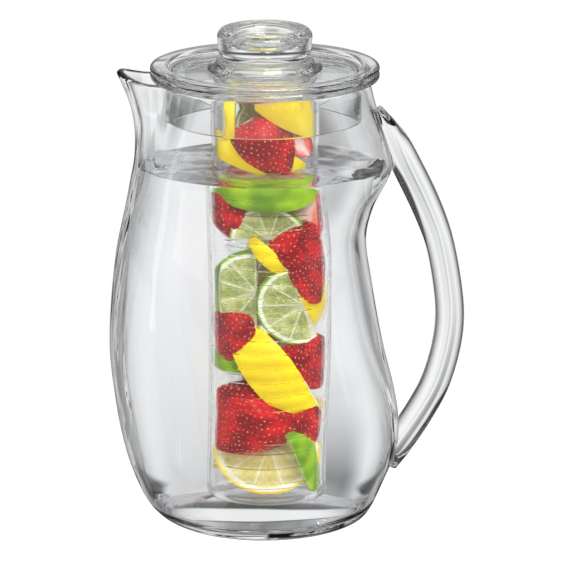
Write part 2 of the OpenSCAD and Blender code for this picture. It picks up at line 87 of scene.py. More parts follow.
# %% Outlines of the jug
BODY_H = 245 * MM
RIM_R = 56 * MM
BELLY_SPOUT_R = 85 * MM
BELLY_HANDLE_R = 73.4 * MM
BELLY_DEPTH_R = 78 * MM
WAIST_R = 54.8 * MM
SHOULDER_R = 69.4 * MM
FOOT_R = 50 * MM
WALL_T = 3.8 * MM
FLOOR_H = 7.5 * MM
HEEL_T = 1.5 * MM
HEEL_H = 5 * MM
SPOUT_REACH = 24.5 * MM
SPOUT_RISE = 5 * MM
SPOUT_CHANNEL_H = 50 * MM
SPOUT_HALF_ANGLE = math.radians(26)
SPOUT_FOOT_SPREAD = 0.55
SPOUT_GROWTH = 1.7
LIP_START = 0.4
LIP_GROWTH = 1.5
RIM_GROWTH = 6
SPOUT_KNOTS = [
    (0, FOOT_R), (0.008, 0.68 * BELLY_SPOUT_R), (0.05, 0.79 * BELLY_SPOUT_R),
    (0.167, 0.913 * BELLY_SPOUT_R), (0.33, 0.989 * BELLY_SPOUT_R), (0.43, BELLY_SPOUT_R),
    (0.60, 0.956 * BELLY_SPOUT_R), (0.72, 0.884 * BELLY_SPOUT_R), (0.82, 0.822 * BELLY_SPOUT_R),
    (0.92, 1.095 * RIM_R), (1, RIM_R),
]
HANDLE_KNOTS = [
    (0, FOOT_R), (0.008, 0.77 * BELLY_HANDLE_R), (0.085, 0.894 * BELLY_HANDLE_R),
    (0.15, 0.98 * BELLY_HANDLE_R), (0.215, BELLY_HANDLE_R), (0.285, 0.968 * BELLY_HANDLE_R),
    (0.40, 0.874 * BELLY_HANDLE_R), (0.55, 1.05 * WAIST_R), (0.645, WAIST_R),
    (0.72, 1.08 * WAIST_R), (0.775, 0.955 * SHOULDER_R), (0.81, SHOULDER_R),
    (0.845, 0.972 * SHOULDER_R), (0.94, 1.065 * RIM_R), (1, RIM_R),
]
DEPTH_KNOTS = [
    (0, FOOT_R), (0.008, 0.708 * BELLY_DEPTH_R), (0.073, 0.866 * BELLY_DEPTH_R),
    (0.19, 0.975 * BELLY_DEPTH_R), (0.31, BELLY_DEPTH_R), (0.43, 0.985 * BELLY_DEPTH_R),
    (0.55, 0.93 * BELLY_DEPTH_R), (0.68, 0.833 * BELLY_DEPTH_R), (0.80, 1.05 * RIM_R),
    (0.89, 1.013 * RIM_R), (1, RIM_R),
]


def smooth(knots, at):
    """Value at a place of the smooth curve through (place, value) knots."""
    i = 0
    while i < len(knots) - 2 and at >= knots[i + 1][0]:
        i += 1

    def slope(k):
        a, b = max(k - 1, 0), min(k + 1, len(knots) - 1)
        return (knots[b][1] - knots[a][1]) / (knots[b][0] - knots[a][0])

    step = knots[i + 1][0] - knots[i][0]
    t = (max(at, knots[0][0]) - knots[i][0]) / step
    return (
        (2 * t**3 - 3 * t**2 + 1) * knots[i][1] + (t**3 - 2 * t**2 + t) * step * slope(i)
        + (3 * t**2 - 2 * t**3) * knots[i + 1][1] + (t**3 - t**2) * step * slope(i + 1)
    )


def eased_table(knots, count=480, reach=7):
    """The curve as an even table, with a running mean over its neighbours above the foot."""
    raw = [smooth(knots, i / count) for i in range(count + 1)]
    table = []
    for i in range(count + 1):
        near = min(reach, i // 2, count - i)
        table.append(sum(raw[i - near:i + near + 1]) / (2 * near + 1))
    return table


def look_up(table, share):
    """Value of an even table at a share of its length."""
    place = min(max(share, 0), 1) * (len(table) - 1)
    i = min(int(place), len(table) - 2)
    return table[i] + (table[i + 1] - table[i]) * (place - i)


spout_table = eased_table(SPOUT_KNOTS)
handle_table = eased_table(HANDLE_KNOTS)
depth_table = eased_table(DEPTH_KNOTS)


def section(z):
    """Half width, half depth and middle of the jug at a height."""
    share = z / BODY_H
    left, right = look_up(spout_table, share), look_up(handle_table, share)
    return (left + right) / 2, look_up(depth_table, share), (right - left) / 2


def spout_fold(angle, z):
    """How far a place of the wall lies in the spout's fold: 1 at its middle, 0 outside it."""
    channel = max(0, (z - BODY_H + SPOUT_CHANNEL_H) / SPOUT_CHANNEL_H)
    spread = SPOUT_HALF_ANGLE * (1 + SPOUT_FOOT_SPREAD * (1 - channel))
    off = abs(math.pi - angle % (2 * math.pi)) / spread
    return (0 if off > 1 else (1 + math.cos(math.pi * off)) / 2), channel


def wall_point(angle, z, inward):
    """A point of the jug's wall, drawn in by a thickness."""
    half_width, half_depth, middle = section(z)
    fold, channel = spout_fold(angle, z)
    out = SPOUT_REACH * fold * channel**SPOUT_GROWTH - inward
    lip = max(0, (spout_fold(angle, BODY_H)[0] - LIP_START) / (1 - LIP_START))
    return Vector((
        middle + (half_width + out) * math.cos(angle),
        (half_depth + out) * math.sin(angle),
        z + SPOUT_RISE * lip**LIP_GROWTH * (z / BODY_H) ** RIM_GROWTH,
    ))


def heel(z):
    """Extra thickness of the wall just above the floor."""
    return HEEL_T * max(0, 1 - (z - FLOOR_H) / HEEL_H) ** 2


print("belly:", [round(v / MM, 1) for v in section(0.35 * BODY_H)], "mm")

# %% [markdown]
# ## Rings into a skin
# The jug, the water, the handle and the fruit are all closed skins over a stack of rings, with a point
# at each end. One helper makes such a skin, turns its faces outwards and shades it smooth, apart from
# edges that are sharper than a given angle.

# %% Helpers for skins and turned shapes
MERGE_GAP = 0.002 * MM
TURNED_SIDES = 160
MOST_OF_HALF = 0.49


def mesh_of(name, points, faces):
    """A new mesh of points and faces."""
    mesh = bpy.data.meshes.new(name)
    mesh.from_pydata(points, [], faces)
    return mesh


def finish_mesh(name, mesh, sharp=35):
    """A linked object whose faces point outwards, smooth except over sharp edges."""
    work = bmesh.new()
    work.from_mesh(mesh)
    bmesh.ops.remove_doubles(work, verts=work.verts, dist=MERGE_GAP)
    bmesh.ops.recalc_face_normals(work, faces=work.faces)
    work.to_mesh(mesh)
    work.free()
    mesh.shade_smooth()
    mesh.set_sharp_from_angle(angle=math.radians(sharp))
    return linked(name, mesh)


def ring_faces(rings):
    """Faces of a closed skin over rings of as many points each, with one point at each end."""
    count = len(rings[0])
    faces = [(0, 1 + (i + 1) % count, 1 + i) for i in range(count)]
    for r in range(len(rings) - 1):
        low = 1 + r * count
        for i in range(count):
            j = (i + 1) % count
            faces.append((low + i, low + j, low + count + j, low + count + i))
    low = 1 + (len(rings) - 1) * count
    return faces + [(low + count, low + i, low + (i + 1) % count) for i in range(count)]


def ring_skin(name, rings, first, last, sharp=35):
    """A closed skin over rings of points, with one point at each end."""
    points = [first] + [p for ring in rings for p in ring] + [last]
    return finish_mesh(name, mesh_of(name, points, ring_faces(rings)), sharp)


def turned_mesh(name, outline, turns, bands):
    """An outline of (radius, height) points carried through a list of turns, with so many bands of faces."""
    points = [Vector((r * math.cos(a), r * math.sin(a), z)) for r, z in outline for a in turns]
    count = len(turns)
    faces = []
    for i in range(bands):
        low, high = i * count, (i + 1) % len(outline) * count
        for k in range(count):
            m = (k + 1) % count
            faces.append((low + k, low + m, high + m, high + k))
    return mesh_of(name, points, faces)


def turned(name, outline):
    """A closed outline turned round the upright axis."""
    turns = [2 * math.pi * k / TURNED_SIDES for k in range(TURNED_SIDES)]
    return finish_mesh(name, turned_mesh(name, outline, turns, len(outline)))


def corner(outline, radius, steps=5):
    """The outline of (radius, height, share) points, each corner rounded by its share of the radius."""
    rounded = []
    count = len(outline)
    for i, (x, z, size) in enumerate(outline):
        if not size:
            rounded.append((x, z))
            continue
        here = Vector((x, z))
        before = Vector(outline[i - 1][:2]) - here
        after = Vector(outline[(i + 1) % count][:2]) - here
        cut_back = min(size * radius, MOST_OF_HALF * before.length, MOST_OF_HALF * after.length)
        start = here + before.normalized() * cut_back
        end = here + after.normalized() * cut_back
        for s in range(steps + 1):
            t = s / steps
            p = (1 - t) ** 2 * start + 2 * t * (1 - t) * here + t**2 * end
            rounded.append((p.x, p.y))
    return rounded


# %% [markdown]
# ## The jug
# One shell runs from the middle of the underside up the outside, over the rounded rim and down the
# inside to the floor. It needs many rings: a picture seen through a wall is only as smooth as the wall.
# They crowd towards the foot, where the wall turns hardest.

# %% Build the jug
SIDES = 176
OUTER_RINGS = 110
INNER_RINGS = 96
RIM_RINGS = 9
CROWD_LOW = 1.3
CROWD_INSIDE = 1.4
angles = [2 * math.pi * i / SIDES for i in range(SIDES)]


def jug_rings():
    """Rings of the jug's shell from the foot, over the rim, to the inside floor."""
    rim_h = BODY_H - WALL_T / 2
    rings = []
    for i in range(OUTER_RINGS + 1):
        z = rim_h * (i / OUTER_RINGS) ** CROWD_LOW
        rings.append([wall_point(a, z, 0) for a in angles])
    for i in range(1, RIM_RINGS + 1):
        turn = math.pi * i / (RIM_RINGS + 1)
        lift = Vector((0, 0, WALL_T / 2 * math.sin(turn)))
        inward = WALL_T / 2 * (1 - math.cos(turn))
        rings.append([wall_point(a, rim_h, inward) + lift for a in angles])
    for i in range(INNER_RINGS + 1):
        z = FLOOR_H + (rim_h - FLOOR_H) * (1 - i / INNER_RINGS) ** CROWD_INSIDE
        rings.append([wall_point(a, z, WALL_T + heel(z)) for a in angles])
    return rings


jug = ring_skin("jug", jug_rings(), Vector((0, 0, 0)), Vector((0, 0, FLOOR_H)))
print("jug:", len(jug.data.polygons), "faces")

# %% [markdown]
# ## The water
# The water fills the jug to just under the shoulder. Its skin lies a hair inside the wall, because two
# skins in one place flicker. It climbs the wall a little, which draws the bright line round its edge,
# and small waves on top give the broken grey reflections of the photograph.

# %% Build the water
WATER_Z = 198 * MM
WATER_GAP = 0.12 * MM
WATER_RINGS = 90
TOP_RINGS = 46
WAVE_H = 2.4 * MM
WAVE_L = 22 * MM
CLIMB_H = 1.6 * MM
CLIMB_L = 3 * MM
CROWD_EDGE = 1.15
# Height share, fineness across and towards the eye, and layer of the noise, for each set of waves
WAVES = [(1.0, 1.0, 1.4, 3.1), (0.45, 2.3, 2.9, 7.7)]


def wave_at(p):
    """Height of the waves at a point, as a share."""
    return sum(
        share * noise.noise(Vector((p.x / WAVE_L * across, p.y / WAVE_L * deep, layer)))
        for share, across, deep, layer in WAVES
    )


def water_rings():
    """Rings of the water's skin from the floor up the wall and in over the wavy top."""
    low = FLOOR_H + WATER_GAP
    rings = []
    for i in range(WATER_RINGS + 1):
        z = low + (WATER_Z - low) * (i / WATER_RINGS) ** CROWD_LOW
        rings.append([wall_point(a, z, WALL_T + heel(z) + WATER_GAP) for a in angles])
    edge = rings[-1]
    middle = sum(edge, Vector()) / len(edge)
    for i in range(1, TOP_RINGS):
        share = 1 - (i / TOP_RINGS) ** CROWD_EDGE
        ring = []
        for p in edge:
            q = middle + (p - middle) * share
            wall_gap = (p - q).length
            q.z += WAVE_H * wave_at(q) * min(1, wall_gap / (3 * CLIMB_L))
            q.z -= CLIMB_H * (1 - math.exp(-wall_gap / CLIMB_L))
            ring.append(q)
        rings.append(ring)
    return rings, Vector((middle.x, middle.y, WATER_Z - CLIMB_H))


water_skin, water_top = water_rings()
water = ring_skin("water", water_skin, Vector((0, 0, FLOOR_H + WATER_GAP)), water_top, sharp=60)
print("water up to", round(WATER_Z / MM), "mm")

# %% [markdown]
# ## The handle
# The handle is a solid clear bow. It is bonded flat against the shoulder, swells into an oval grip and
# comes back to the lower flank. Its section is an ellipse across the path, pressed against the jug's
# wall wherever it would run into it.

# %% Build the handle
HANDLE_REACH = 108.7 * MM
HANDLE_T = 15.8 * MM
HANDLE_W = 19 * MM
HANDLE_TOP_H = 228 * MM
HANDLE_FOOT_H = 30.6 * MM
BOND_GAP = 0.1 * MM
# Reach, height, thickness and width along the grip, each as a share of its size
GRIP_LINE = [
    (0.564, 1.00, 0.25, 0.75), (0.610, 0.952, 0.62, 0.95), (0.650, 0.906, 0.92, 1.05),
    (0.697, 0.851, 1.02, 1.08), (0.772, 0.768, 1.04, 1.03), (0.830, 0.694, 1.02, 1.00),
    (0.876, 0.618, 0.97, 1.00), (0.914, 0.505, 0.98, 1.00), (0.928, 0.412, 1.00, 1.00),
    (0.909, 0.321, 1.01, 1.00), (0.858, 0.222, 1.02, 1.00), (0.791, 0.149, 1.02, 1.02),
    (0.733, 0.096, 1.02, 1.06), (0.671, 0.045, 1.02, 1.10), (0.609, 0.000, 1.02, 1.10),
]
GRIP_SIDES = 48
GRIP_RINGS = 150
GRIP_NUDGE = 0.004


def grip_column(column, size, base=0.0):
    """One column of the grip line as an eased table."""
    span = len(GRIP_LINE) - 1
    knots = [(i / span, base + size * row[column]) for i, row in enumerate(GRIP_LINE)]
    return eased_table(knots, count=420, reach=10)


grip_x = grip_column(0, HANDLE_REACH)
grip_z = grip_column(1, HANDLE_TOP_H - HANDLE_FOOT_H, HANDLE_FOOT_H)
grip_thick = grip_column(2, HANDLE_T / 2)
grip_wide = grip_column(3, HANDLE_W / 2)


def grip_ring(share):
    """One oval ring of the grip, kept outside the jug's wall."""
    before, here, after = (
        Vector((look_up(grip_x, at), look_up(grip_z, at)))
        for at in (share - GRIP_NUDGE, share, share + GRIP_NUDGE)
    )
    way = (after - before).normalized()
    out = Vector((-way.y, way.x))
    ring = []
    for k in range(GRIP_SIDES):
        turn = 2 * math.pi * k / GRIP_SIDES
        mid = here + out * look_up(grip_thick, share) * math.cos(turn)
        y = look_up(grip_wide, share) * math.sin(turn)
        half_width, half_depth, middle = section(mid.y)
        flank = middle + half_width * math.sqrt(max(0, 1 - (y / half_depth) ** 2))
        ring.append(Vector((max(mid.x, flank + BOND_GAP), y, mid.y)))
    return ring


grip_skin = [grip_ring(i / (GRIP_RINGS - 1)) for i in range(GRIP_RINGS)]
grip_ends = [sum(grip_skin[i], Vector()) / GRIP_SIDES for i in (0, -1)]
grip = ring_skin("grip", grip_skin, grip_ends[0], grip_ends[1])
print("grip:", len(grip.data.polygons), "faces")

# %% [markdown]
# ## The lid
# The lid is one turned moulding: a lip of two rings that rests on the jug's rim, a sunken plate, a thin
# skirt that centres it in the mouth, and a hub hole for the knob's neck. The corners are rounded a little,
# because a real moulded edge catches a line of light and a sharp one doesn't.

# %% Build the lid
SEAT_GAP = 0.1 * MM
LID_Z = BODY_H + SEAT_GAP
LID_R = 61.6 * MM
LIP_H = 7.5 * MM
LIP_W = 10 * MM
PLATE_T = 4.4 * MM
SKIRT_H = 22 * MM
SKIRT_T = 2.4 * MM
SKIRT_PLAY = 0.5 * MM
SKIRT_R = RIM_R - WALL_T - SKIRT_PLAY
NECK_R = 24.4 * MM
NECK_GAP = 0.08 * MM
LID_CORNER_R = 0.8 * MM
PLATE_Z = LID_Z + PLATE_T


def arc(x, z, r, start, end, steps=10):
    """Points of a round corner from one angle to another, in degrees, each with no extra rounding."""
    turns = [math.radians(start + (end - start) * i / steps) for i in range(steps + 1)]
    return [(x + r * math.cos(a), z + r * math.sin(a), 0) for a in turns]


low_ring_r = 0.28 * LIP_H
high_ring_r = 0.22 * LIP_H
corner_r = 0.8 * (LIP_H - PLATE_T)
lid_outline = corner(
    [(NECK_R + NECK_GAP, LID_Z, 0), (SKIRT_R - SKIRT_T, LID_Z, 1),
     (SKIRT_R - SKIRT_T, LID_Z - SKIRT_H, 1), (SKIRT_R, LID_Z - SKIRT_H, 1), (SKIRT_R, LID_Z, 0)]
    + arc(LID_R - low_ring_r, LID_Z + low_ring_r, low_ring_r, -90, 60)
    + arc(LID_R - high_ring_r, LID_Z + LIP_H - high_ring_r, high_ring_r, -60, 90)
    + arc(LID_R - LIP_W + corner_r, LID_Z + LIP_H - corner_r, corner_r, 90, 150)
    + [(LID_R - LIP_W, PLATE_Z, 1), (NECK_R + NECK_GAP, PLATE_Z, 1)],
    LID_CORNER_R,
)
lid = turned("lid", lid_outline)
print("lid:", len(lid.data.polygons), "faces")

# %% [markdown]
# ## The knob
# The knob is hollow from below and dimpled on top, so it shows ring inside ring, as a clear knob does.
# Its flange is stepped, and its neck passes through the lid with a coarse thread at its foot. The
# thread is a helix: one section carried round and up, which is the same rule that the CAD uses.

# %% Build the knob
KNOB_Z = PLATE_Z + SEAT_GAP
KNOB_H = 23 * MM
KNOB_R = 25.5 * MM
KNOB_WAIST_R = 24.7 * MM
DIMPLE_R = 16.4 * MM
DIMPLE_DEPTH = 9.5 * MM
KNOB_FLANGE_R = 31 * MM
KNOB_FLANGE_T = 3 * MM
KNOB_STEP_R = 26.4 * MM
KNOB_WALL = 3.6 * MM
THREAD_PITCH = 3 * MM
THREAD_TURNS = 1.5
THREAD_DEPTH = 1 * MM
THREAD_ROOT_R = NECK_R - THREAD_DEPTH
THREAD_STEPS = 72
KNOB_CORNER_R = 1.6 * MM
AXIS_R = 0.01 * MM
knob_top = KNOB_Z + KNOB_H
head_r = (KNOB_R - DIMPLE_R) / 2
floor_r = min(head_r, DIMPLE_DEPTH - head_r)
bore_r = NECK_R - KNOB_WALL - THREAD_DEPTH / 2
hollow_top = knob_top - DIMPLE_DEPTH - KNOB_WALL
neck_foot = LID_Z - THREAD_PITCH * THREAD_TURNS
edge = KNOB_FLANGE_T / 2.4
step_top = KNOB_Z + 2 * KNOB_FLANGE_T
side_l = knob_top - head_r - step_top
knob_outline = corner(
    [(AXIS_R, hollow_top, 0), (bore_r - KNOB_WALL, hollow_top, 1), (bore_r, hollow_top - KNOB_WALL, 1),
     (bore_r, neck_foot, 0.5), (THREAD_ROOT_R, neck_foot, 0.5), (THREAD_ROOT_R, LID_Z, 0),
     (NECK_R, LID_Z, 0), (NECK_R, KNOB_Z, 0)]
    + arc(KNOB_FLANGE_R - edge, KNOB_Z + edge, edge, -90, 90)
    + [(KNOB_STEP_R + edge, KNOB_Z + KNOB_FLANGE_T, 0)]
    + arc(KNOB_STEP_R - edge, step_top - edge, edge, 0, 90)
    + [(KNOB_WAIST_R, step_top + 0.15 * side_l, 0.6),
       ((KNOB_WAIST_R + KNOB_R) / 2, step_top + 0.6 * side_l, 1)]
    + arc(KNOB_R - head_r, knob_top - head_r, head_r, 0, 180, steps=16)
    + arc(DIMPLE_R - floor_r, knob_top - DIMPLE_DEPTH + floor_r, floor_r, 0, -90)
    + [(AXIS_R, knob_top - DIMPLE_DEPTH, 0)],
    KNOB_CORNER_R,
)
knob = turned("knob_turned", knob_outline)


def thread_rib(name, turns, root, crest):
    """A helical rib of four-cornered section, closed at both ends."""
    steps = int(THREAD_STEPS * turns)
    start = neck_foot + 0.25 * THREAD_PITCH
    low, high = 0.25 * THREAD_PITCH, 0.1 * THREAD_PITCH
    corners = [(root, -low), (crest, -high), (crest, high), (root, low)]
    points = []
    for i in range(steps + 1):
        a = 2 * math.pi * i / THREAD_STEPS
        z = start + THREAD_PITCH * i / THREAD_STEPS
        points += [Vector((r * math.cos(a), r * math.sin(a), z + dz)) for r, dz in corners]
    faces = [(0, 1, 2, 3), tuple(4 * steps + k for k in (3, 2, 1, 0))]
    for i in range(steps):
        for k in range(4):
            a, b = 4 * i + k, 4 * i + (k + 1) % 4
            faces.append((a, a + 4, b + 4, b))
    return finish_mesh(name, mesh_of(name, points, faces))


def join(name, pieces):
    """Several finished pieces as one mesh object."""
    work = bmesh.new()
    for piece in pieces:
        work.from_mesh(piece.data)
        bpy.data.objects.remove(piece)
    mesh = bpy.data.meshes.new(name)
    work.to_mesh(mesh)
    work.free()
    return linked(name, mesh)


rib_root, rib_crest = THREAD_ROOT_R - THREAD_DEPTH / 2, NECK_R - 2 * NECK_GAP
rib = thread_rib("neck_thread", THREAD_TURNS - 0.5, rib_root, rib_crest)
screw_knob = join("screw_knob", [knob, rib])
print("knob and thread:", len(screw_knob.data.polygons), "faces")

# %% [markdown]
# ## The slotted tube
# The tube's wall is the same window repeated: one in front, one behind, and a row every few millimetres.
# That is a job for Geometry Nodes. One window cell is drawn flat, a grid of points says where copies go, and
# a last step bends the flat sheet round the tube's slight cone. The closed cup below and the plain
# sleeve above are turned, with the same number of sides, so that all three meet point for point.

# %% Sizes of the tube
TUBE_TOP_R = 29 * MM
TUBE_BOTTOM_R = 26.6 * MM
TUBE_FOOT_H = 17.4 * MM
TUBE_WALL = 2.3 * MM
TUBE_FLOOR_T = 3 * MM
COLLAR_H = 6 * MM
SLOT_H = 2.6 * MM
SLOT_PITCH = 7.7 * MM
SLOT_W = 43 * MM
SLOT_START = 10.5 * MM
SLOT_END = 50 * MM
WINDOWS = 2
SLOT_COLUMNS = 24
PILLAR_COLUMNS = 22
TUBE_TOP_Z = LID_Z - SEAT_GAP
TUBE_H = TUBE_TOP_Z - TUBE_FOOT_H
BORE_BOTTOM_Z = TUBE_FOOT_H + TUBE_FLOOR_T
BORE_BOTTOM_R = TUBE_BOTTOM_R - TUBE_WALL
BORE_TOP_R = TUBE_TOP_R - TUBE_WALL
COLLAR_R = THREAD_ROOT_R + NECK_GAP
COLLAR_Z = TUBE_TOP_Z - COLLAR_H
BORE_END_Z = COLLAR_Z - (BORE_TOP_R - COLLAR_R)
ROWS = int((TUBE_H - SLOT_START - SLOT_END) / SLOT_PITCH) + 1
FIRST_SLOT_Z = TUBE_FOOT_H + SLOT_START
sleeve_low = TUBE_FOOT_H + SLOT_START - SLOT_PITCH / 2
sleeve_high = sleeve_low + ROWS * SLOT_PITCH


def tube_out(z):
    """Outer radius of the tube at a height, above its rounded heel."""
    low = TUBE_FOOT_H + 2 * TUBE_WALL
    share = (z - low) / (TUBE_TOP_Z - low)
    return TUBE_BOTTOM_R + (TUBE_TOP_R - TUBE_BOTTOM_R) * share


def tube_in(z):
    """Radius of the tube's bore at a height."""
    low = BORE_BOTTOM_Z + TUBE_WALL
    share = (z - low) / (BORE_END_Z - low)
    return BORE_BOTTOM_R + (BORE_TOP_R - BORE_BOTTOM_R) * share


slot_turn = 2 * math.asin(SLOT_W / 2 / TUBE_TOP_R)
print("rows of windows:", ROWS, "from", round(sleeve_low / MM, 1), "to", round(sleeve_high / MM, 1), "mm")

# %% Draw one window cell, flat: turn across, depth into the wall, height up
pillar_turn = (2 * math.pi / WINDOWS - slot_turn) / 2
half_pillar = PILLAR_COLUMNS // 2
cell_turns = [-math.pi / WINDOWS + pillar_turn * i / half_pillar for i in range(half_pillar)]
cell_turns += [-slot_turn / 2 + slot_turn * i / SLOT_COLUMNS for i in range(SLOT_COLUMNS)]
cell_turns += [slot_turn / 2 + pillar_turn * i / half_pillar for i in range(half_pillar + 1)]
cell_heights = [-SLOT_PITCH / 2, -SLOT_H / 2, SLOT_H / 2, SLOT_PITCH / 2]


def window_cell():
    """One window of the wall: turn in X, 0 for the outer and 1 for the inner skin in Y, height in Z."""
    columns = len(cell_turns)
    points = [(turn, skin, z) for skin in (0, 1) for z in cell_heights for turn in cell_turns]

    def at(skin, row, column):
        return (skin * len(cell_heights) + row) * columns + column

    first, last = half_pillar, half_pillar + SLOT_COLUMNS
    faces = []
    for row in range(len(cell_heights) - 1):
        for c in range(columns - 1):
            if row == 1 and first <= c < last:
                continue
            outer = (at(0, row, c), at(0, row, c + 1), at(0, row + 1, c + 1), at(0, row + 1, c))
            inner = (at(1, row, c), at(1, row + 1, c), at(1, row + 1, c + 1), at(1, row, c + 1))
            faces += [outer, inner]
    for c in range(first, last):
        faces.append((at(0, 1, c), at(0, 1, c + 1), at(1, 1, c + 1), at(1, 1, c)))
        faces.append((at(0, 2, c), at(1, 2, c), at(1, 2, c + 1), at(0, 2, c + 1)))
    faces.append((at(0, 1, first), at(1, 1, first), at(1, 2, first), at(0, 2, first)))
    faces.append((at(0, 1, last), at(0, 2, last), at(1, 2, last), at(1, 1, last)))
    return linked("window_cell", mesh_of("window_cell", points, faces))


# %% [markdown]
# ## A small way to write node trees
# Node trees get long when each link is a line of its own. This class wraps one output socket, so that
# sums on sockets read like sums on numbers, and its builder has one method that adds any other node.
# The same pair serves the geometry here and the finishes further down.

# %% Sums and nodes on sockets


class Term:
    """An output socket that adds a Math node for each operator used on it."""

    def __init__(self, builder, socket):
        self.builder = builder
        self.socket = socket

    def sum(self, operation, other, swap=False):
        """A sum on this socket and another value."""
        pair = {1: self, 0: other} if swap else {0: self, 1: other}
        return self.builder.node("ShaderNodeMath", {"operation": operation}, pair)

    def of(self, operation):
        """A sum on this socket alone, such as its cosine."""
        return self.sum(operation, 0.0)

    def also(self, name):
        """Another output of the same node."""
        return Term(self.builder, self.socket.node.outputs[name])

    def __add__(self, other):
        return self.sum("ADD", other)

    def __sub__(self, other):
        return self.sum("SUBTRACT", other)

    def __rsub__(self, other):
        return self.sum("SUBTRACT", other, swap=True)

    def __mul__(self, other):
        return self.sum("MULTIPLY", other)

    def __truediv__(self, other):
        return self.sum("DIVIDE", other)

    def __pow__(self, other):
        return self.sum("POWER", other)

    def most(self, other):
        return self.sum("MAXIMUM", other)

    __radd__ = __add__
    __rmul__ = __mul__


class Tree:
    """A node tree with one method that adds any node."""

    def __init__(self, tree):
        self.tree = tree

    def node(self, kind, settings=None, sockets=None, out=0):
        """Add a node: its settings first, then its sockets by name or number. Gives one output."""
        made = self.tree.nodes.new(kind)
        for key, value in (settings or {}).items():
            if key == "stops":
                self.stops(made.color_ramp, value)
            else:
                setattr(made, key, value)
        for key, value in (sockets or {}).items():
            if isinstance(value, Term):
                self.tree.links.new(value.socket, made.inputs[key])
            else:
                made.inputs[key].default_value = value
        return Term(self, made.outputs[out]) if len(made.outputs) else made

    def stops(self, ramp, stops):
        """Set a ramp's stops from (place, grey) pairs."""
        while len(ramp.elements) < len(stops):
            ramp.elements.new(1)
        for element, (place, shade) in zip(ramp.elements, stops):
            element.position = place
            element.color = (shade, shade, shade, 1)

    def leave(self, kind, result, socket=0):
        """Link a result to a new last node."""
        self.tree.links.new(result.socket, self.tree.nodes.new(kind).inputs[socket])


# %% Sums on colours and vectors
def axes(tree, vector):
    """The X, Y and Z of a vector."""
    first = tree.node("ShaderNodeSeparateXYZ", None, {0: vector})
    return first, first.also("Y"), first.also("Z")


def mix_colour(tree, factor, first, second):
    """Two colours mixed by a factor."""
    sockets = {0: factor, 6: first if isinstance(first, Term) else (*first, 1)}
    sockets[7] = second if isinstance(second, Term) else (*second, 1)
    return tree.node("ShaderNodeMix", {"data_type": "RGBA"}, sockets, 2)


def times(tree, first, second):
    """Two colours multiplied."""
    return tree.node("ShaderNodeMix", {"data_type": "RGBA", "blend_type": "MULTIPLY"}, {
        0: 1.0, 6: first, 7: second,
    }, 2)


def step_up(tree, value, low, high):
    """0 below low, 1 above high, and an eased rise between."""
    return tree.node("ShaderNodeMapRange", {"interpolation_type": "SMOOTHSTEP"}, {
        "Value": value, "From Min": low, "From Max": high,
    })


def ramp(tree, value, stops):
    """A grey read off a ramp."""
    return tree.node("ShaderNodeValToRGB", {"stops": stops}, {0: value})


def speckle(tree, place, scale, detail):
    """Noise over a place."""
    return tree.node("ShaderNodeTexNoise", None, {"Vector": place, "Scale": scale, "Detail": detail})


def bumped(tree, height, distance, strength=1.0, under=None):
    """A surface pushed by a height, on top of an earlier bump if one is given."""
    sockets = {"Strength": strength, "Distance": distance, "Height": height}
    if under:
        sockets["Normal"] = under
    return tree.node("ShaderNodeBump", None, sockets)


# %% Repeat the cell and bend the sheet into a sleeve
def geometry_tree(name, inputs):
    """A geometry tree with named inputs beside the geometry, and its input and output nodes."""
    group = bpy.data.node_groups.new(name, "GeometryNodeTree")
    group.interface.new_socket("Geometry", in_out="INPUT", socket_type="NodeSocketGeometry")
    for label, kind in inputs.items():
        group.interface.new_socket(label, in_out="INPUT", socket_type=kind)
    group.interface.new_socket("Geometry", in_out="OUTPUT", socket_type="NodeSocketGeometry")
    tree = Tree(group)
    entry = group.nodes.new("NodeGroupInput")
    return tree, {socket.name: Term(tree, socket) for socket in entry.outputs if socket.name}


def run_tree(piece, tree, settings, name):
    """The piece after a geometry tree, as a plain new mesh object. The first piece is removed."""
    modifier = piece.modifiers.new("tree", "NODES")
    modifier.node_group = tree.tree
    labels = {
        item.name: item.identifier for item in tree.tree.interface.items_tree
        if item.item_type == "SOCKET" and item.in_out == "INPUT"
    }
    for label, value in settings.items():
        modifier[labels[label]] = value
    graph = bpy.context.evaluated_depsgraph_get()
    mesh = bpy.data.meshes.new_from_object(piece.evaluated_get(graph))
    mesh.name = name
    piece.modifiers.clear()
    bpy.data.objects.remove(piece)
    return linked(name, mesh)


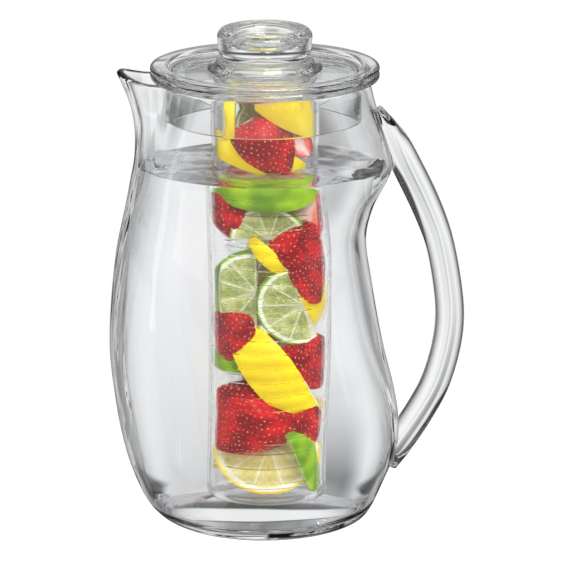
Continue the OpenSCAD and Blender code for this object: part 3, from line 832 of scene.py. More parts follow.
def sleeve_tree():
    """Copies of the cell on a grid, bent round the upright axis between two slightly conical skins."""
    tree, given = geometry_tree("sleeve", {
        "Windows": "NodeSocketInt", "Rows": "NodeSocketInt", "Pitch": "NodeSocketFloat",
        "Low": "NodeSocketFloat", "Finish": "NodeSocketMaterial",
    })
    node = tree.node
    turn = node("ShaderNodeMath", {"operation": "DIVIDE"}, {0: 2 * math.pi, 1: given["Windows"]})
    grid = node("GeometryNodeMeshGrid", None, {
        "Vertices X": given["Windows"], "Vertices Y": given["Rows"],
        "Size X": (given["Windows"] - 1) * turn, "Size Y": (given["Rows"] - 1) * given["Pitch"],
    }, "Mesh")
    # The grid lies flat, so each copy's place is read from it and stood up
    across, along, _ = axes(tree, node("GeometryNodeInputPosition"))
    up = along + (given["Rows"] - 1) * given["Pitch"] * 0.5 + given["Low"]
    stood = node("ShaderNodeCombineXYZ", None, {"X": across, "Y": 0.0, "Z": up})
    points = node("GeometryNodeSetPosition", None, {"Geometry": grid, "Position": stood})
    copies = node("GeometryNodeInstanceOnPoints", None, {"Points": points, "Instance": given["Geometry"]})
    sheet = node("GeometryNodeRealizeInstances", None, {0: copies})
    angle, skin, z = axes(tree, node("GeometryNodeInputPosition"))
    out_r = z * (tube_out(1) - tube_out(0)) + tube_out(0)
    in_r = z * (tube_in(1) - tube_in(0)) + tube_in(0)
    radius = out_r + (in_r - out_r) * skin
    bent = node("ShaderNodeCombineXYZ", None, {
        "X": radius * angle.of("COSINE"), "Y": radius * angle.of("SINE"), "Z": z,
    })
    sleeve = node("GeometryNodeSetPosition", None, {"Geometry": sheet, "Position": bent})
    dressed = node("GeometryNodeSetMaterial", None, {"Geometry": sleeve, "Material": given["Finish"]})
    tree.leave("NodeGroupOutput", dressed)
    return tree


# %% [markdown]
# ## Clear acrylic
# Acrylic bends light like a light glass. Nothing inside a clear jug would be lit if its walls threw
# solid shadows, so rays from the lamps and from matt surfaces pass straight through, and only what the
# eye or a mirror sees is bent. The skin of moulded acrylic is faintly wavy and picks up fine scuffs, so
# a slow bump and a little patchy roughness come from noise. Under water acrylic bends light much less
# than in air, and the renderer takes each skin as a border with air. So the water and the tube have lower
# indices than the real ones, and the tube has two versions of the finish, one wet and one dry. The wet
# one is faint: three tenths of it let light pass unbent. The wall between two rows of slots gets a
# painted grey shade in place of the dark lines that the slot edges would bend, which keeps the rows
# readable.

# %% The clear finishes
CLEAR = (0.965, 0.972, 0.975)
CLEARER = (0.985, 0.99, 0.995)
TUBE_TINT = (0.975, 0.98, 0.982)
# Painted grey shade for the wet tube's wall between rows of slots, in place of the lines that the slot edges
# bend
PAINTED_BAND_SHADE = (0.72, 0.72, 0.74)
WHITE = (1.0, 1.0, 1.0)
SCUFF_SCALE = 420.0
SCUFF_SHARE = 0.45
RIPPLE_SCALE = 75.0
RIPPLE_DRAW = 0.28
RIPPLE_FROM = 52 * MM
RIPPLE_TO = 72 * MM
BAND_FADE = 4 * MM


def finish(name):
    """A new material's builder, with its tree cleared."""
    material = bpy.data.materials.new(name)
    material.use_nodes = True
    material.node_tree.nodes.clear()
    tree = Tree(material.node_tree)
    tree.material = material
    return tree


def show(tree, shader):
    """Link a shader to the material's output."""
    tree.leave("ShaderNodeOutputMaterial", shader, "Surface")
    return tree.material


def clear_finish(name, index, tint, scuff, wave, wave_size, ripple=0.0, ghost=0.0, bands=None):
    """A clear moulding: its bending index, tint, roughness of scuffs, height and size of waves, height
    of the ripples at its two sides, the share of it that is too faint to see, and the grey painted
    between rows of slots as painted shade."""
    tree = finish(name)
    node = tree.node
    place = node("ShaderNodeTexCoord", out="Object")
    x, _, z = axes(tree, place)
    slow = node("ShaderNodeTexNoise", None, {
        "Vector": place, "Scale": 1 / wave_size, "Detail": 1.0, "Roughness": 0.4,
    })
    fine = speckle(tree, place, SCUFF_SCALE, 2.0)
    bump = bumped(tree, slow, wave)
    if ripple:
        side = step_up(tree, x.of("ABSOLUTE"), RIPPLE_FROM, RIPPLE_TO)
        drawn = node("ShaderNodeMapping", None, {"Vector": place, "Scale": (1, 1, RIPPLE_DRAW)})
        bump = bumped(tree, speckle(tree, drawn, RIPPLE_SCALE, 1.5) * side, ripple, under=bump)
    colour = (*tint, 1)
    # Between two rows of slots the wall is painted grey: painted shade in place of the dark lines that the
    # slot edges would bend
    if bands:
        row = ((z - FIRST_SLOT_Z) * (2 * math.pi / SLOT_PITCH)).of("COSINE") * 0.5 + 0.5
        window = step_up(tree, x.of("ABSOLUTE"), SLOT_W / 2, SLOT_W / 2 - BAND_FADE)
        colour = mix_colour(tree, (1.0 - row) * window, tint, bands)
    shader = node("ShaderNodeBsdfPrincipled", None, {
        "Base Color": colour, "Transmission Weight": 1.0, "IOR": index,
        "Roughness": (fine - SCUFF_SHARE).most(0.0) * scuff, "Normal": bump,
    })
    path = node("ShaderNodeLightPath", out="Is Shadow Ray")
    through = node("ShaderNodeBsdfTransparent", None, {"Color": (*[0.5 + 0.5 * t for t in tint], 1)})
    clear = path.most(path.also("Is Diffuse Ray")).most(ghost)
    return show(tree, node("ShaderNodeMixShader", None, {0: clear, 1: shader, 2: through}))


acrylic = clear_finish("clear_acrylic", 1.49, CLEAR, 0.03, 0.02 * MM, 18 * MM)
jug_acrylic = clear_finish("jug_acrylic", 1.49, CLEARER, 0.02, 0.02 * MM, 18 * MM, ripple=0.9 * MM)
dry_tube = clear_finish("dry_tube", 1.3, TUBE_TINT, 0.02, 0.01 * MM, 12 * MM)
wet_tube = clear_finish("wet_tube", 1.06, WHITE, 0.0, 0.01 * MM, 12 * MM, ghost=0.3, bands=PAINTED_BAND_SHADE)
water_clear = clear_finish("water", 1.2, CLEARER, 0.0, 0.02 * MM, 30 * MM)
print("clear finishes:", [made.name for made in (acrylic, jug_acrylic, dry_tube, wet_tube, water_clear)])

# %% [markdown]
# ## Put the tube together
# The bent sleeve, the cup below it and the threaded collar above it are merged into one skin.

# %% Build the tube
TOP_STEPS = 12
GROOVE_TURNS = 4
GROOVE_MOUTH = 0.6 * MM
GROOVE_FLOOR = 0.25 * MM
first_turn = -(WINDOWS - 1) * math.pi / WINDOWS
all_turns = [first_turn + 2 * math.pi / WINDOWS * w + t for w in range(WINDOWS) for t in cell_turns[:-1]]


def tube_part(name, outline):
    """An open turned part of the tube, with the sleeve's own turns."""
    return linked(name, turned_mesh(name, outline, all_turns, len(outline) - 1))


def plain_heights(end):
    """Even heights from the top row of slots to an end, and the water's level among them."""
    steps = [sleeve_high + (end - sleeve_high) * i / TOP_STEPS for i in range(TOP_STEPS + 1)]
    return sorted([WATER_Z] + steps)


tube_heel = 2 * TUBE_WALL
cup = [(0, TUBE_FOOT_H)] + [
    p[:2] for p in arc(TUBE_BOTTOM_R - tube_heel, TUBE_FOOT_H + tube_heel, tube_heel, -90, 0)
] + [(tube_out(sleeve_low), sleeve_low)]
cup_inside = [(tube_in(sleeve_low), sleeve_low)] + [
    p[:2] for p in arc(BORE_BOTTOM_R - TUBE_WALL, BORE_BOTTOM_Z + TUBE_WALL, TUBE_WALL, 0, -90)
] + [(0, BORE_BOTTOM_Z)]
collar = [(tube_out(z), z) for z in plain_heights(TUBE_TOP_Z)] + [(COLLAR_R, TUBE_TOP_Z)]
for g in range(GROOVE_TURNS):
    z = TUBE_TOP_Z - COLLAR_H * (g + 0.5) / GROOVE_TURNS
    collar += [(COLLAR_R, z + GROOVE_MOUTH), (COLLAR_R + THREAD_DEPTH, z + GROOVE_FLOOR)]
    collar += [(COLLAR_R + THREAD_DEPTH, z - GROOVE_FLOOR), (COLLAR_R, z - GROOVE_MOUTH)]
collar += [(COLLAR_R, COLLAR_Z)] + [(tube_in(z), z) for z in reversed(plain_heights(BORE_END_Z))]
sleeve = run_tree(window_cell(), sleeve_tree(), {
    "Windows": WINDOWS, "Rows": ROWS, "Pitch": SLOT_PITCH,
    "Low": sleeve_low + SLOT_PITCH / 2, "Finish": wet_tube,
}, "sleeve")
tube_parts = join("tube_parts", [
    sleeve, tube_part("cup", cup), tube_part("cup_inside", cup_inside), tube_part("collar", collar),
])
tube = finish_mesh("fruit_tube", tube_parts.data.copy(), sharp=40)
bpy.data.objects.remove(tube_parts)
print("tube:", len(tube.data.polygons), "faces")

# %% [markdown]
# ## The fruit and where it lies
# Each row is one piece: its kind, its size beside a whole fruit, the angle of a wedge, where it lies
# across the bore and up the tube, and its turns. They are the CAD's own rows, so each dressed piece
# lies where its solid is.

# %% The table of fruit
LIME_R = 24 * MM
LEMON_R = 27 * MM
LIME_HALF_L = 26 * MM
LEMON_HALF_L = 34 * MM
SLICE_T = 6 * MM
BERRY_R = 15 * MM
BERRY_L = 36 * MM
FRUIT_GAP = 0.3 * MM
CITRUS_SIZES = {"lime": (LIME_R, LIME_HALF_L), "lemon": (LEMON_R, LEMON_HALF_L)}
FRUIT = [
    ("lemon_wedge_mid", "lemon_wedge", 1, 52, (0.12, 0.10), 0.306, (-92, 35, 0)),
    ("lime_half_centre", "lime_slice", 0.92, 0, (0.66, -0.58), 0.467, (-90, -72, 90)),
    ("lime_half_left", "lime_slice", 0.95, 0, (-0.22, -0.50), 0.495, (-98, -90, 90)),
    ("lime_wedge_top", "lime_wedge", 1, 36, (0.04, -0.08), 0.735, (-90, 90, 0)),
    ("strawberry_top", "berry", 1.1, 0, (0.00, -0.32), 0.855, (-84, 30, 0)),
    ("strawberry_large", "berry", 1.3, 0, (-0.33, -0.33), 0.187, (-90, 80, 0)),
    ("strawberry_right_upper", "berry", 0.9, 0, (0.60, -0.42), 0.605, (-75, -66, 0)),
    ("strawberry_right_lower", "berry", 0.85, 0, (0.82, -0.42), 0.538, (-60, 5, 0)),
    ("lime_slice_upper", "lime_slice", 0.78, 0, (0.04, -0.50), 0.626, (-90, 180, 90)),
    ("lemon_wedge_top", "lemon_wedge", 0.9, 50, (0.40, 0.12), 0.957, (-90, 58, 0)),
    ("lemon_wedge_low", "lemon_wedge", 0.9, 45, (-0.24, 0.30), 0.835, (-100, 70, 0)),
    ("lemon_slice_left", "lemon_slice", 0.60, 0, (-0.76, -0.10), 0.919, (180, 90, 90)),
    ("strawberry_chip", "berry", 0.6, 0, (0.62, -0.40), 0.865, (95, -40, 0)),
    ("lime_slice_back", "lime_slice", 0.6, 0, (-0.06, 0.05), 0.898, (-90, 180, 90)),
    ("lime_wedge_bottom", "lime_wedge", 0.8, 50, (0.45, -0.22), 0.091, (-40, 30, 0)),
    ("strawberry_small", "berry", 0.6, 0, (0.70, -0.40), 0.173, (-50, 20, 0)),
    ("lemon_slice_bottom", "lemon_slice", 0.93, 0, (0.04, -0.16), 0.121, (-90, 0, 82)),
    ("strawberry_mid_right", "berry", 0.85, 0, (0.70, -0.35), 0.324, (-60, 20, 0)),
    ("strawberry_left", "berry", 0.8, 0, (-0.64, -0.38), 0.393, (-130, 0, 0)),
    ("lime_wedge_left", "lime_wedge", 0.7, 34, (-0.34, 0.02), 0.324, (-140, 80, 0)),
    ("strawberry_upper_right", "berry", 0.9, 0, (0.70, -0.36), 0.683, (80, 20, 0)),
    ("strawberry_upper_left", "berry", 0.75, 0, (-0.70, -0.28), 0.686, (-140, 10, 0)),
    ("lemon_wedge_upper", "lemon_wedge", 0.4, 50, (0.02, -0.44), 0.586, (-90, 40, 0)),
    ("lemon_wedge_behind", "lemon_wedge", 0.9, 50, (0.08, 0.20), 0.486, (-35, 10, 0)),
    ("lemon_back_low", "lemon_wedge", 0.9, 60, (0, 0), 0.132, (85, 60, 0)),
    ("strawberry_back_low", "berry", 1.1, 0, (0.10, 0.35), 0.285, (80, 20, 0)),
    ("lime_back_mid", "lime_wedge", 1, 60, (0, 0.05), 0.428, (95, 80, 0)),
    ("lemon_back_high", "lemon_wedge", 0.9, 60, (0.05, 0.05), 0.581, (80, 30, 0)),
    ("strawberry_back_high", "berry", 1.1, 0, (-0.10, 0.35), 0.724, (100, -20, 0)),
    ("lime_back_top", "lime_wedge", 0.9, 60, (0, 0.10), 0.877, (85, 75, 0)),
]
print(len(FRUIT), "pieces of fruit")

# %% [markdown]
# ## Layers that follow the fruit
# A cut lime shows green skin, white pith and pale flesh, in that order from the outside. Each mesh
# carries three values on its points: `share`, the distance from the core as a share of the fruit there,
# `outside`, which is 1 on the fruit's own skin and 0 on a cut, and `local`, the point's place in the
# fruit's own frame before it was dropped into the tube. With those, one finish paints skin, pith,
# membranes and juice sacs on any piece, however it lies.

# %% Shapes of the fruit, in their own frames


def fruit_skin(name, rings, first, last):
    """A closed skin over rings of (point, share, outside) with one such entry at each end."""
    entries = [first] + [entry for ring in rings for entry in ring] + [last]
    mesh = mesh_of(name, [entry[0] for entry in entries], ring_faces(rings))
    for label, kind in (("local", "FLOAT_VECTOR"), ("share", "FLOAT"), ("outside", "FLOAT")):
        mesh.attributes.new(label, kind, "POINT")
    local, share, outside = (mesh.attributes[label].data for label in ("local", "share", "outside"))
    for i, (point, rho, out) in enumerate(entries):
        local[i].vector = point
        share[i].value = rho
        outside[i].value = out
    return finish_mesh(name, mesh, sharp=50)


def wedge_skin(name, r, half_l, angle):
    """A citrus wedge: its core on Z, its skin towards +X."""
    half = math.radians(angle) / 2
    rows, deep, wide = 34, 14, 14

    def entry(v, rho, turn, outside=0.0):
        reach = rho * (r * math.cos(v))
        spot = Vector((reach * math.cos(turn), reach * math.sin(turn), half_l * math.sin(v)))
        return spot, rho, outside

    rings = []
    for i in range(1, rows):
        v = -math.pi / 2 + math.pi * i / rows
        rings.append(
            [entry(v, 0.0, 0.0)]
            + [entry(v, k / deep, -half) for k in range(1, deep + 1)]
            + [entry(v, 1.0, -half + 2 * half * k / wide, 1.0) for k in range(1, wide)]
            + [entry(v, k / deep, half) for k in range(deep, 0, -1)]
        )
    ends = [(Vector((0, 0, z)), 1.0, 1.0) for z in (-half_l, half_l)]
    return fruit_skin(name, rings, *ends)


def slice_skin(name, r):
    """Half a citrus slice: its faces across Z, its round edge towards +X."""
    rows, deep = 44, 16
    rings = []
    for i in range(rows + 1):
        turn = -math.pi / 2 + math.pi * i / rows
        edge = Vector((math.cos(turn), math.sin(turn), 0)) * r
        lower, upper = (
            [(edge * (k / deep) + Vector((0, 0, z)), k / deep, 0.0) for k in range(deep + 1)]
            for z in (-SLICE_T / 2, SLICE_T / 2)
        )
        rim = [(edge + Vector((0, 0, z)), 1.0, 1.0) for z in (-SLICE_T / 6, SLICE_T / 6)]
        rings.append(lower + rim + upper[::-1])
    return fruit_skin(name, rings, (Vector((0, -r / 2, 0)), 0.5, 0.0), (Vector((0, r / 2, 0)), 0.5, 0.0))


# Width and height of half a strawberry, from its crown to its tip, as shares of its size
BERRY_SHARES = [
    (0, 0.40), (0.5, 0.42), (0.85, 0.34), (1, 0.16), (0.94, -0.05),
    (0.74, -0.28), (0.44, -0.47), (0.19, -0.56), (0, -0.58),
]
LUMP = 0.05
HOLLOW = 0.6 * MM


def berry_skin(name, r, l):
    """Half a strawberry: its tip towards -Z, its round side towards +X."""
    rows, round_n, flat_n = 96, 72, 24
    span = len(BERRY_SHARES) - 1
    across, along = (
        eased_table([(i / span, p[column]) for i, p in enumerate(BERRY_SHARES)], 160, 4) for column in (0, 1)
    )
    rings = []
    for i in range(1, rows):
        reach, z = r * look_up(across, i / rows), l * look_up(along, i / rows)
        depth = min(1, 3 * min(i, rows - i) / rows)
        ring = []
        for k in range(round_n + 1):
            turn = -math.pi / 2 + math.pi * k / round_n
            lump = 1 + LUMP * noise.noise(Vector((math.cos(turn), math.sin(turn), z / r)) * 1.5)
            skin = reach * lump
            ring.append((Vector((skin * math.cos(turn), skin * math.sin(turn), z)), 1.0, 1.0))
        for k in range(1, flat_n):
            rho = 1 - 2 * k / flat_n
            hollow = HOLLOW * depth * max(0, 1 - abs(rho)) ** 0.5
            ring.append((Vector((hollow, reach * rho, z)), abs(rho), 0.0))
        rings.append(ring)
    ends = [(Vector((0, 0, l * along[i])), 1.0, 1.0) for i in (0, -1)]
    return fruit_skin(name, rings, *ends)


# %% [markdown]
# ## Strawberry seeds
# A strawberry's seeds sit in small pits, evenly spaced over its skin. The tree scatters points on the
# round side at a least distance, with a fixed seed, presses a pit into the skin round each point, and
# lays one small seed in each pit along the skin.

# %% The tree for pits and seeds
SEED_SPACING = 2.6 * MM
PIT_DEPTH = 0.8 * MM
SEED_L = 1.3 * MM
SEED_MOST = 4e5
SCATTER_SEED = 7


def seed_tree():
    """Pits and seeds over the outside of a berry."""
    tree, given = geometry_tree("berry_seeds", {
        "Spacing": "NodeSocketFloat", "Pit": "NodeSocketFloat", "Length": "NodeSocketFloat",
        "Skin": "NodeSocketMaterial", "Seed": "NodeSocketMaterial",
    })
    node = tree.node
    outside = node(
        "GeometryNodeInputNamedAttribute", {"data_type": "FLOAT"}, {"Name": "outside"}, "Attribute"
    )
    scatter = node("GeometryNodeDistributePointsOnFaces", {"distribute_method": "POISSON"}, {
        "Mesh": given["Geometry"], "Distance Min": given["Spacing"], "Density Max": SEED_MOST,
        "Density Factor": outside, "Seed": SCATTER_SEED,
    }, "Points")
    gap = node("GeometryNodeProximity", {"target_element": "POINTS"}, {"Geometry": scatter}, "Distance")
    near = (1.0 - gap / (given["Spacing"] * 0.5)).most(0.0)
    depth = near * near * given["Pit"] * outside * -1.0
    push = node("ShaderNodeVectorMath", {"operation": "SCALE"}, {
        0: node("GeometryNodeInputNormal"), "Scale": depth,
    })
    pitted = node("GeometryNodeSetPosition", None, {"Geometry": given["Geometry"], "Offset": push})
    skin = node("GeometryNodeSetMaterial", None, {"Geometry": pitted, "Material": given["Skin"]})
    ball = node("GeometryNodeMeshIcoSphere", None, {"Radius": 0.5, "Subdivisions": 1}, "Mesh")
    size = node("ShaderNodeCombineXYZ", None, {
        "X": given["Length"] * 0.55, "Y": given["Length"], "Z": given["Length"] * 0.4,
    })
    grain = node("GeometryNodeTransform", None, {"Geometry": ball, "Scale": size})
    seeds = node("GeometryNodeInstanceOnPoints", None, {
        "Points": scatter, "Instance": grain, "Rotation": scatter.also("Rotation"),
    })
    real = node("GeometryNodeRealizeInstances", None, {0: seeds})
    round_seeds = node("GeometryNodeSetShadeSmooth", None, {"Geometry": real})
    dressed = node("GeometryNodeSetMaterial", None, {"Geometry": round_seeds, "Material": given["Seed"]})
    both = tree.tree.nodes.new("GeometryNodeJoinGeometry")
    tree.tree.links.new(skin.socket, both.inputs[0])
    tree.tree.links.new(dressed.socket, both.inputs[0])
    tree.leave("NodeGroupOutput", Term(tree, both.outputs[0]))
    return tree


# %% [markdown]
# ## Finishes of the fruit
# The citrus finish reads `share` and paints outwards: flesh, pith, then the skin with its oil pits. In
# a cross slice the membranes run out from the core like spokes, and in a wedge the sacs fan out from
# it. Wet flesh is glossy, and the skin and the membranes are a little rougher. Colours are given as light,
# not as screen values.

# %% Citrus finish
PITH = (0.86, 0.86, 0.66)
SEGMENTS = 10
PITH_FROM = 0.845
PITH_TO = 0.885
SKIN_FROM = 0.935
SKIN_TO = 0.97
SAC_SHOW = 0.35
MEMBRANE_SHOW = 0.65


def carried(tree, name, out="Fac"):
    """A value that the mesh carries on its points."""
    return tree.node("ShaderNodeAttribute", {"attribute_name": name}, out=out)


def citrus_finish(name, peel, peel_dark, flesh, flesh_dark, sliced):
    """Skin, pith and flesh of a cut citrus fruit."""
    tree = finish(name)
    node = tree.node
    share = carried(tree, "share")
    local = carried(tree, "local", "Vector")
    x, y, z = axes(tree, local)
    if sliced:
        turn = y.sum("ARCTAN2", x)
        spoke = (turn * (SEGMENTS / (2 * math.pi)) + (SEGMENTS + 0.5)).of("FRACT")
        off = (spoke - 0.5).of("ABSOLUTE") * 2.0
        membrane = step_up(tree, (1.0 - off) * share, 0.10, 0.03)
        sac_place = {"X": turn * 5.0, "Y": share * 3.2, "Z": z * 120.0}
    else:
        membrane = step_up(tree, share, 0.10, 0.04)
        sac_place = {"X": z * 230.0, "Y": share * 3.0, "Z": y * 90.0}
    # The sacs are cells, few from the core outwards and many across, so they come out long and thin
    sacs = node("ShaderNodeTexVoronoi", {"feature": "DISTANCE_TO_EDGE"}, {
        "Vector": node("ShaderNodeCombineXYZ", None, sac_place), "Scale": 1.6, "Randomness": 0.9,
    })
    patch = speckle(tree, local, 130.0, 3.0)
    sac_edge = step_up(tree, sacs, 0.14, 0.0)
    colour = mix_colour(tree, step_up(tree, patch, 0.35, 0.65), flesh, flesh_dark)
    colour = mix_colour(tree, sac_edge * SAC_SHOW, colour, PITH)
    colour = mix_colour(tree, membrane * MEMBRANE_SHOW, colour, PITH)
    colour = mix_colour(tree, step_up(tree, share, PITH_FROM, PITH_TO), colour, PITH)
    pits = node("ShaderNodeTexVoronoi", {"feature": "F1"}, {
        "Vector": local, "Scale": 720.0, "Randomness": 0.8,
    })
    blush = speckle(tree, local, 60.0, 2.0)
    skin = mix_colour(tree, step_up(tree, blush, 0.35, 0.7), peel, peel_dark)
    skin_mask = step_up(tree, share, SKIN_FROM, SKIN_TO)
    colour = mix_colour(tree, skin_mask, colour, skin)
    pit_depth = step_up(tree, pits, 0.0, 0.5) * skin_mask
    height = pit_depth * 0.35 + sac_edge * (1.0 - skin_mask) * 0.5
    return show(tree, node("ShaderNodeBsdfPrincipled", None, {
        "Base Color": colour, "Roughness": 0.22 + skin_mask * 0.16 + membrane * 0.1,
        "Normal": bumped(tree, height, 0.5 * MM, 0.8), "IOR": 1.36, "Specular IOR Level": 0.25,
        "Subsurface Weight": 0.15, "Subsurface Scale": 3 * MM,
    }))


LEMON_PEEL = (0.95, 0.74, 0.004)
LEMON_PEEL_DARK = (0.86, 0.60, 0.003)
LEMON_FLESH = (0.80, 0.72, 0.32)
LEMON_FLESH_DARK = (0.66, 0.56, 0.14)
LIME_PEEL = (0.34, 0.56, 0.014)
LIME_PEEL_DARK = (0.13, 0.28, 0.008)
LIME_FLESH = (0.60, 0.62, 0.22)
LIME_FLESH_DARK = (0.30, 0.35, 0.06)
finishes = {}
for fruit_name, shades in {
    "lemon": (LEMON_PEEL, LEMON_PEEL_DARK, LEMON_FLESH, LEMON_FLESH_DARK),
    "lime": (LIME_PEEL, LIME_PEEL_DARK, LIME_FLESH, LIME_FLESH_DARK),
}.items():
    for cut in ("wedge", "slice"):
        finishes[f"{fruit_name}_{cut}"] = citrus_finish(f"{fruit_name}_{cut}", *shades, cut == "slice")
print("citrus finishes:", sorted(finishes))

# %% Strawberry finish
BERRY_RED = (0.60, 0.003, 0.006)
BERRY_DARK = (0.24, 0.0, 0.003)
BERRY_CORE = (0.86, 0.62, 0.55)
BERRY_FLESH = (0.78, 0.20, 0.14)
BERRY_EDGE = (0.55, 0.015, 0.015)
SEED_STRAW = (0.84, 0.46, 0.22)
SEED_RIPE = (0.52, 0.14, 0.05)


def berry_finish():
    """Glossy red skin, and a cut face that pales towards its core."""
    tree = finish("strawberry")
    node = tree.node
    local = carried(tree, "local", "Vector")
    blotch = speckle(tree, local, 90.0, 3.0)
    skin = mix_colour(tree, step_up(tree, blotch, 0.38, 0.62), BERRY_RED, BERRY_DARK)
    squeezed = node("ShaderNodeMapping", None, {"Vector": local, "Scale": (1, 1.6, 0.35)})
    streak = speckle(tree, squeezed, 420.0, 3.0)
    core = carried(tree, "share") + (streak - 0.5) * 0.5
    inside = mix_colour(tree, step_up(tree, core, 0.15, 0.5), BERRY_CORE, BERRY_FLESH)
    inside = mix_colour(tree, step_up(tree, core, 0.5, 0.95), inside, BERRY_EDGE)
    return show(tree, node("ShaderNodeBsdfPrincipled", None, {
        "Base Color": mix_colour(tree, carried(tree, "outside"), inside, skin),
        "Roughness": 0.16 + blotch * 0.15, "Normal": bumped(tree, streak, 0.3 * MM, 0.5), "IOR": 1.4,
        "Specular IOR Level": 0.2, "Subsurface Weight": 0.03, "Subsurface Scale": 2 * MM,
    }))


def seed_finish():
    """Straw-coloured seeds, some of them ripe and brown."""
    tree = finish("berry_seed")
    ripe = speckle(tree, tree.node("ShaderNodeTexCoord", out="Object"), 240.0, 1.0)
    colour = mix_colour(tree, step_up(tree, ripe, 0.4, 0.6), SEED_STRAW, SEED_RIPE)
    return show(tree, tree.node("ShaderNodeBsdfPrincipled", None, {
        "Base Color": colour, "Roughness": 0.35,
    }))


finishes["berry"] = berry_finish()
berry_seed = seed_finish()
print("finishes:", len(finishes) + 1)

# %% [markdown]
# ## Drop the fruit into the tube
# Each piece is shaped in its own frame, then turned and moved to its place. Whatever would poke
# through the tube is pressed flat against the bore, as soft fruit is in a tight tube. That pressed
# patch is what the slots draw lines on.

# %% Build every piece of fruit


def place_matrix(row):
    """Where a piece lies: round the tube, about the outward line, then about the line across it."""
    across, height, turns = row[4:]
    spot = (across[0] * BORE_BOTTOM_R, across[1] * BORE_BOTTOM_R, TUBE_FOOT_H + height * TUBE_H)
    az, roll, pitch = (math.radians(a) for a in turns)
    return (
        Matrix.Translation(spot) @ Matrix.Rotation(az, 4, "Z")
        @ Matrix.Rotation(roll, 4, "X") @ Matrix.Rotation(pitch, 4, "Y")
    )


def press_into_bore(mesh):
    """Move every point that lies outside the bore back onto it."""
    low = BORE_BOTTOM_Z + TUBE_WALL
    for vertex in mesh.vertices:
        p = vertex.co
        p.z = min(max(p.z, BORE_BOTTOM_Z + FRUIT_GAP), BORE_END_Z - FRUIT_GAP)
        limit = tube_in(p.z) - FRUIT_GAP
        if p.z < low:
            rounding = 1 - math.sqrt(1 - ((low - p.z) / TUBE_WALL) ** 2)
            limit = BORE_BOTTOM_R - FRUIT_GAP - TUBE_WALL * rounding
        reach = math.hypot(p.x, p.y)
        if reach > limit:
            p.x *= limit / reach
            p.y *= limit / reach


def fruit_piece(row, pits):
    """One dressed piece of fruit in its place."""
    name, kind, size, angle = row[:4]
    label = "dressed_" + name
    if kind == "berry":
        plain = berry_skin(label + "_plain", size * BERRY_R, size * BERRY_L)
        piece = run_tree(plain, pits, {
            "Spacing": SEED_SPACING, "Pit": PIT_DEPTH, "Length": SEED_L,
            "Skin": finishes["berry"], "Seed": berry_seed,
        }, label)
    else:
        r, half_l = CITRUS_SIZES[kind.split("_")[0]]
        if kind.endswith("wedge"):
            piece = wedge_skin(label, size * r, size * half_l, angle)
        else:
            piece = slice_skin(label, size * r)
        piece.data.materials.append(finishes[kind])
    piece.data.transform(place_matrix(row))
    press_into_bore(piece.data)
    return piece


pits = seed_tree()
fruit_pieces = {row[0]: fruit_piece(row, pits) for row in FRUIT}
print("fruit faces:", sum(len(piece.data.polygons) for piece in fruit_pieces.values()))

# %% [markdown]
# ## Finishes on the clear pieces, and what each piece stands for
# The dressed pieces take the place of their CAD nodes, and each rides on the body that carries it. The
# water rides on the jug.

# %% Dress and attach
jug.data.materials.append(jug_acrylic)
for piece in (grip, lid, screw_knob):
    piece.data.materials.append(acrylic)
water.data.materials.append(water_clear)
tube.data.materials.clear()
tube.data.materials.append(wet_tube)
tube.data.materials.append(dry_tube)
for face in tube.data.polygons:
    face.material_index = 1 if face.center.z > WATER_Z else 0
CLEAR_PIECES = [
    (jug, "pitcher", "pitcher_body"), (grip, "pitcher", "handle"), (lid, "lid", "lid_cover"),
    (screw_knob, "knob", "knob"), (tube, "infuser", "infuser_tube"),
]
for piece, body, node_name in CLEAR_PIECES:
    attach(piece, body)
    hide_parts(node_name)
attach(water, "pitcher")
for row in FRUIT:
    piece = fruit_pieces[row[0]]
    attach(piece, "infuser")
    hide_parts(row[0])
print("attached:", len(CLEAR_PIECES), "clear pieces, the water and", len(FRUIT), "pieces of fruit")

# %% [markdown]
# ## The studio
# Clear things are photographed against a bright panel with darkness beside it: light that goes nearly
# straight through stays white, and light that bends hard at an edge ends in the dark, which draws the
# outline. So the world is white to the eye, and to a bent ray it is a ring of four white panels with
# dark gaps between them. Four, so that the sides look like the front.
#
# A second pattern runs from straight down to straight up, with a dark band at eye level and another one
# higher. They draw the grey and white rings of the lid, the knob and the thick base. A third and softer
# one shades the flanks of the belly, left and right of the tube. Light that turns back towards the front
# finds an even grey, or it would fill the base with broken sparks. From behind, the whole jug is a plain
# pale grey for that reason. The floor is a white disc that holds the shadow and fades into the world at
# its edge.

# %% The floor
FLOOR_R = 0.42
FLOOR_SIDES = 96
FLOOR_WHITE = 0.93
FADE_FROM = 0.5 * FLOOR_R
FADE_TO = 0.98 * FLOOR_R


def build_floor():
    """A white disc that fades out at its edge."""
    turns = [2 * math.pi * i / FLOOR_SIDES for i in range(FLOOR_SIDES)]
    spots = [(0, 0, 0)] + [(FLOOR_R * math.cos(a), FLOOR_R * math.sin(a), 0) for a in turns]
    faces = [(0, 1 + i, 1 + (i + 1) % FLOOR_SIDES) for i in range(FLOOR_SIDES)]
    mesh = mesh_of("floor", spots, faces)
    piece = linked("floor", mesh)
    tree = finish("floor")
    node = tree.node
    place = node("ShaderNodeTexCoord", out="Object")
    radius = node("ShaderNodeVectorMath", {"operation": "LENGTH"}, {0: place}, "Value")
    path = node("ShaderNodeLightPath", out="Is Glossy Ray")
    fade = step_up(tree, radius, FADE_FROM, FADE_TO)
    fade = fade.most(path).most(path.also("Is Transmission Ray"))
    white = node("ShaderNodeBsdfPrincipled", None, {
        "Base Color": (FLOOR_WHITE, FLOOR_WHITE, FLOOR_WHITE, 1),
        "Roughness": 0.6 + speckle(tree, place, 300.0, 2.0) * 0.2,
    })
    gone = node("ShaderNodeBsdfTransparent")
    show(tree, node("ShaderNodeMixShader", None, {0: fade, 1: white, 2: gone}))
    mesh.materials.append(tree.material)


build_floor()
print("floor radius:", FLOOR_R, "m")

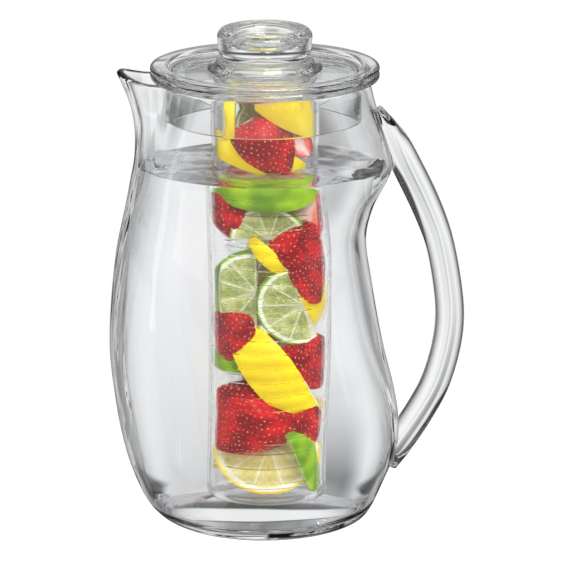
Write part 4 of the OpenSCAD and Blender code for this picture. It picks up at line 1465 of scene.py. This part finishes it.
# %% The world's patterns, each a list of (place, light)
# Round the compass, from half way between two panels to the middle of one
AROUND = [(0.0, 0.08), (0.25, 0.3), (0.5, 0.64), (0.7, 0.88), (0.85, 1.0), (1.0, 1.0)]
# From straight down to straight up, for light that has passed through a wall
THROUGH = [
    (0.0, 0.75), (0.075, 0.7), (0.13, 0.3), (0.2, 0.5), (0.245, 0.7), (0.28, 0.9), (0.32, 1.0),
    (0.465, 1.0), (0.485, 0.08), (0.59, 0.08), (0.62, 1.0), (0.75, 1.0), (0.775, 0.06), (0.85, 0.06),
    (0.91, 0.9), (1.0, 0.9),
]
# From straight down to straight up, for light that a skin mirrors
MIRRORED = [(0.0, 0.08), (0.4, 0.1), (0.5, 0.25), (0.6, 0.4), (0.8, 0.4), (0.9, 1.0), (1.0, 1.0)]
# From far left to far right, where the flanks are shaded, and at which heights
FLANKS = [
    (0.0, 0.0), (0.33, 0.0), (0.365, 0.8), (0.38, 1.0), (0.44, 1.0), (0.465, 0.15), (0.485, 0.15),
    (0.505, 0.9), (0.52, 1.0), (0.535, 0.4), (0.62, 0.3), (0.66, 0.0), (1.0, 0.0),
]
FLANK_LEVELS = [
    (0.0, 1.0), (0.2, 1.0), (0.28, 0.0), (0.32, 0.0), (0.36, 0.35), (0.4, 0.75), (0.44, 1.0),
    (0.5, 1.0), (0.53, 0.0), (1.0, 0.0),
]
FLANK_SHADE = 0.8
MATT_LIGHT = (0.36, 0.36, 0.37)
BACK_LIGHT = (0.6, 0.6, 0.61)
BACK_FROM = -0.05
BACK_TO = -0.3
STEEP_FROM = 0.6
STEEP_TO = 0.9
LEAST_FLAT = 0.001


def build_world():
    """White to the eye, patterned to bent and mirrored rays, pale grey to matt ones."""
    world = bpy.data.worlds.new("studio")
    scene.world = world
    world.use_nodes = True
    world.node_tree.nodes.clear()
    tree = Tree(world.node_tree)
    x, y, z = axes(tree, tree.node("ShaderNodeTexCoord", out="Generated"))
    flat = (x * x + y * y).most(LEAST_FLAT)
    around = ramp(tree, ((x * x - y * y) / flat).of("ABSOLUTE"), AROUND)
    panels = mix_colour(tree, step_up(tree, z.of("ABSOLUTE"), STEEP_FROM, STEEP_TO), around, WHITE)
    level = z * 0.5 + 0.5
    flank = ramp(tree, x / flat ** 0.5 * 0.5 + 0.5, FLANKS)
    clear = 1.0 - ramp(tree, level, FLANK_LEVELS) * flank * FLANK_SHADE
    ahead = times(tree, times(tree, panels, ramp(tree, level, THROUGH)), clear)
    ahead = mix_colour(tree, step_up(tree, y, BACK_FROM, BACK_TO), ahead, BACK_LIGHT)
    # A ray that passes through counts as glossy too, so the mirrored light is set first
    path = tree.node("ShaderNodeLightPath", out="Is Camera Ray")
    mirrored = times(tree, panels, ramp(tree, level, MIRRORED))
    shade = mix_colour(tree, path.also("Is Glossy Ray"), MATT_LIGHT, mirrored)
    shade = mix_colour(tree, path.also("Is Transmission Ray"), shade, ahead)
    shade = mix_colour(tree, path, shade, WHITE)
    glow = tree.node("ShaderNodeBackground", None, {"Color": shade, "Strength": 1.0})
    tree.leave("ShaderNodeOutputWorld", glow, "Surface")


build_world()
print("stops in the light passed through:", len(THROUGH))

# %% [markdown]
# ## Lamps
# A big soft lamp in front, high on the right, gives the main light, a weak one fills from the left, one
# lights the lid from above, and a narrow strip on each side puts a long thin highlight on the rounded
# walls. The lamps can't be seen through a clear wall, because the thick base would break their picture
# into white splinters. The world alone is what a bent ray finds.

# %% Lamps and light paths
AIM = Vector((0, 0, 0.13))
# Name, place, width and height in metres, and power in watts
LAMPS = [
    ("key", (0.5, -1.3, 1.3), (1.1, 1.1), 38), ("fill", (-1.1, -0.9, 0.9), (0.9, 1.0), 3),
    ("top", (0.1, 0.3, 1.4), (1.0, 1.0), 9), ("left_strip", (-0.8, -0.15, 0.35), (0.08, 0.7), 0.3),
    ("right_strip", (0.8, -0.1, 0.35), (0.08, 0.7), 0.15),
]
for name, place, size, watts in LAMPS:
    data = bpy.data.lights.new(name, "AREA")
    data.shape = "RECTANGLE"
    data.size, data.size_y = size
    data.energy = watts
    piece = linked(name, data)
    piece.visible_transmission = False
    piece.location = place
    piece.rotation_euler = (AIM - Vector(place)).to_track_quat("-Z", "Y").to_euler()
print("lamps:", len(LAMPS))

# %% Light paths
scene.view_settings.view_transform = "Standard"
scene.cycles.max_bounces = 28
scene.cycles.transmission_bounces = 28
scene.cycles.glossy_bounces = 10
scene.cycles.transparent_max_bounces = 32
scene.cycles.caustics_reflective = False
scene.cycles.caustics_refractive = False
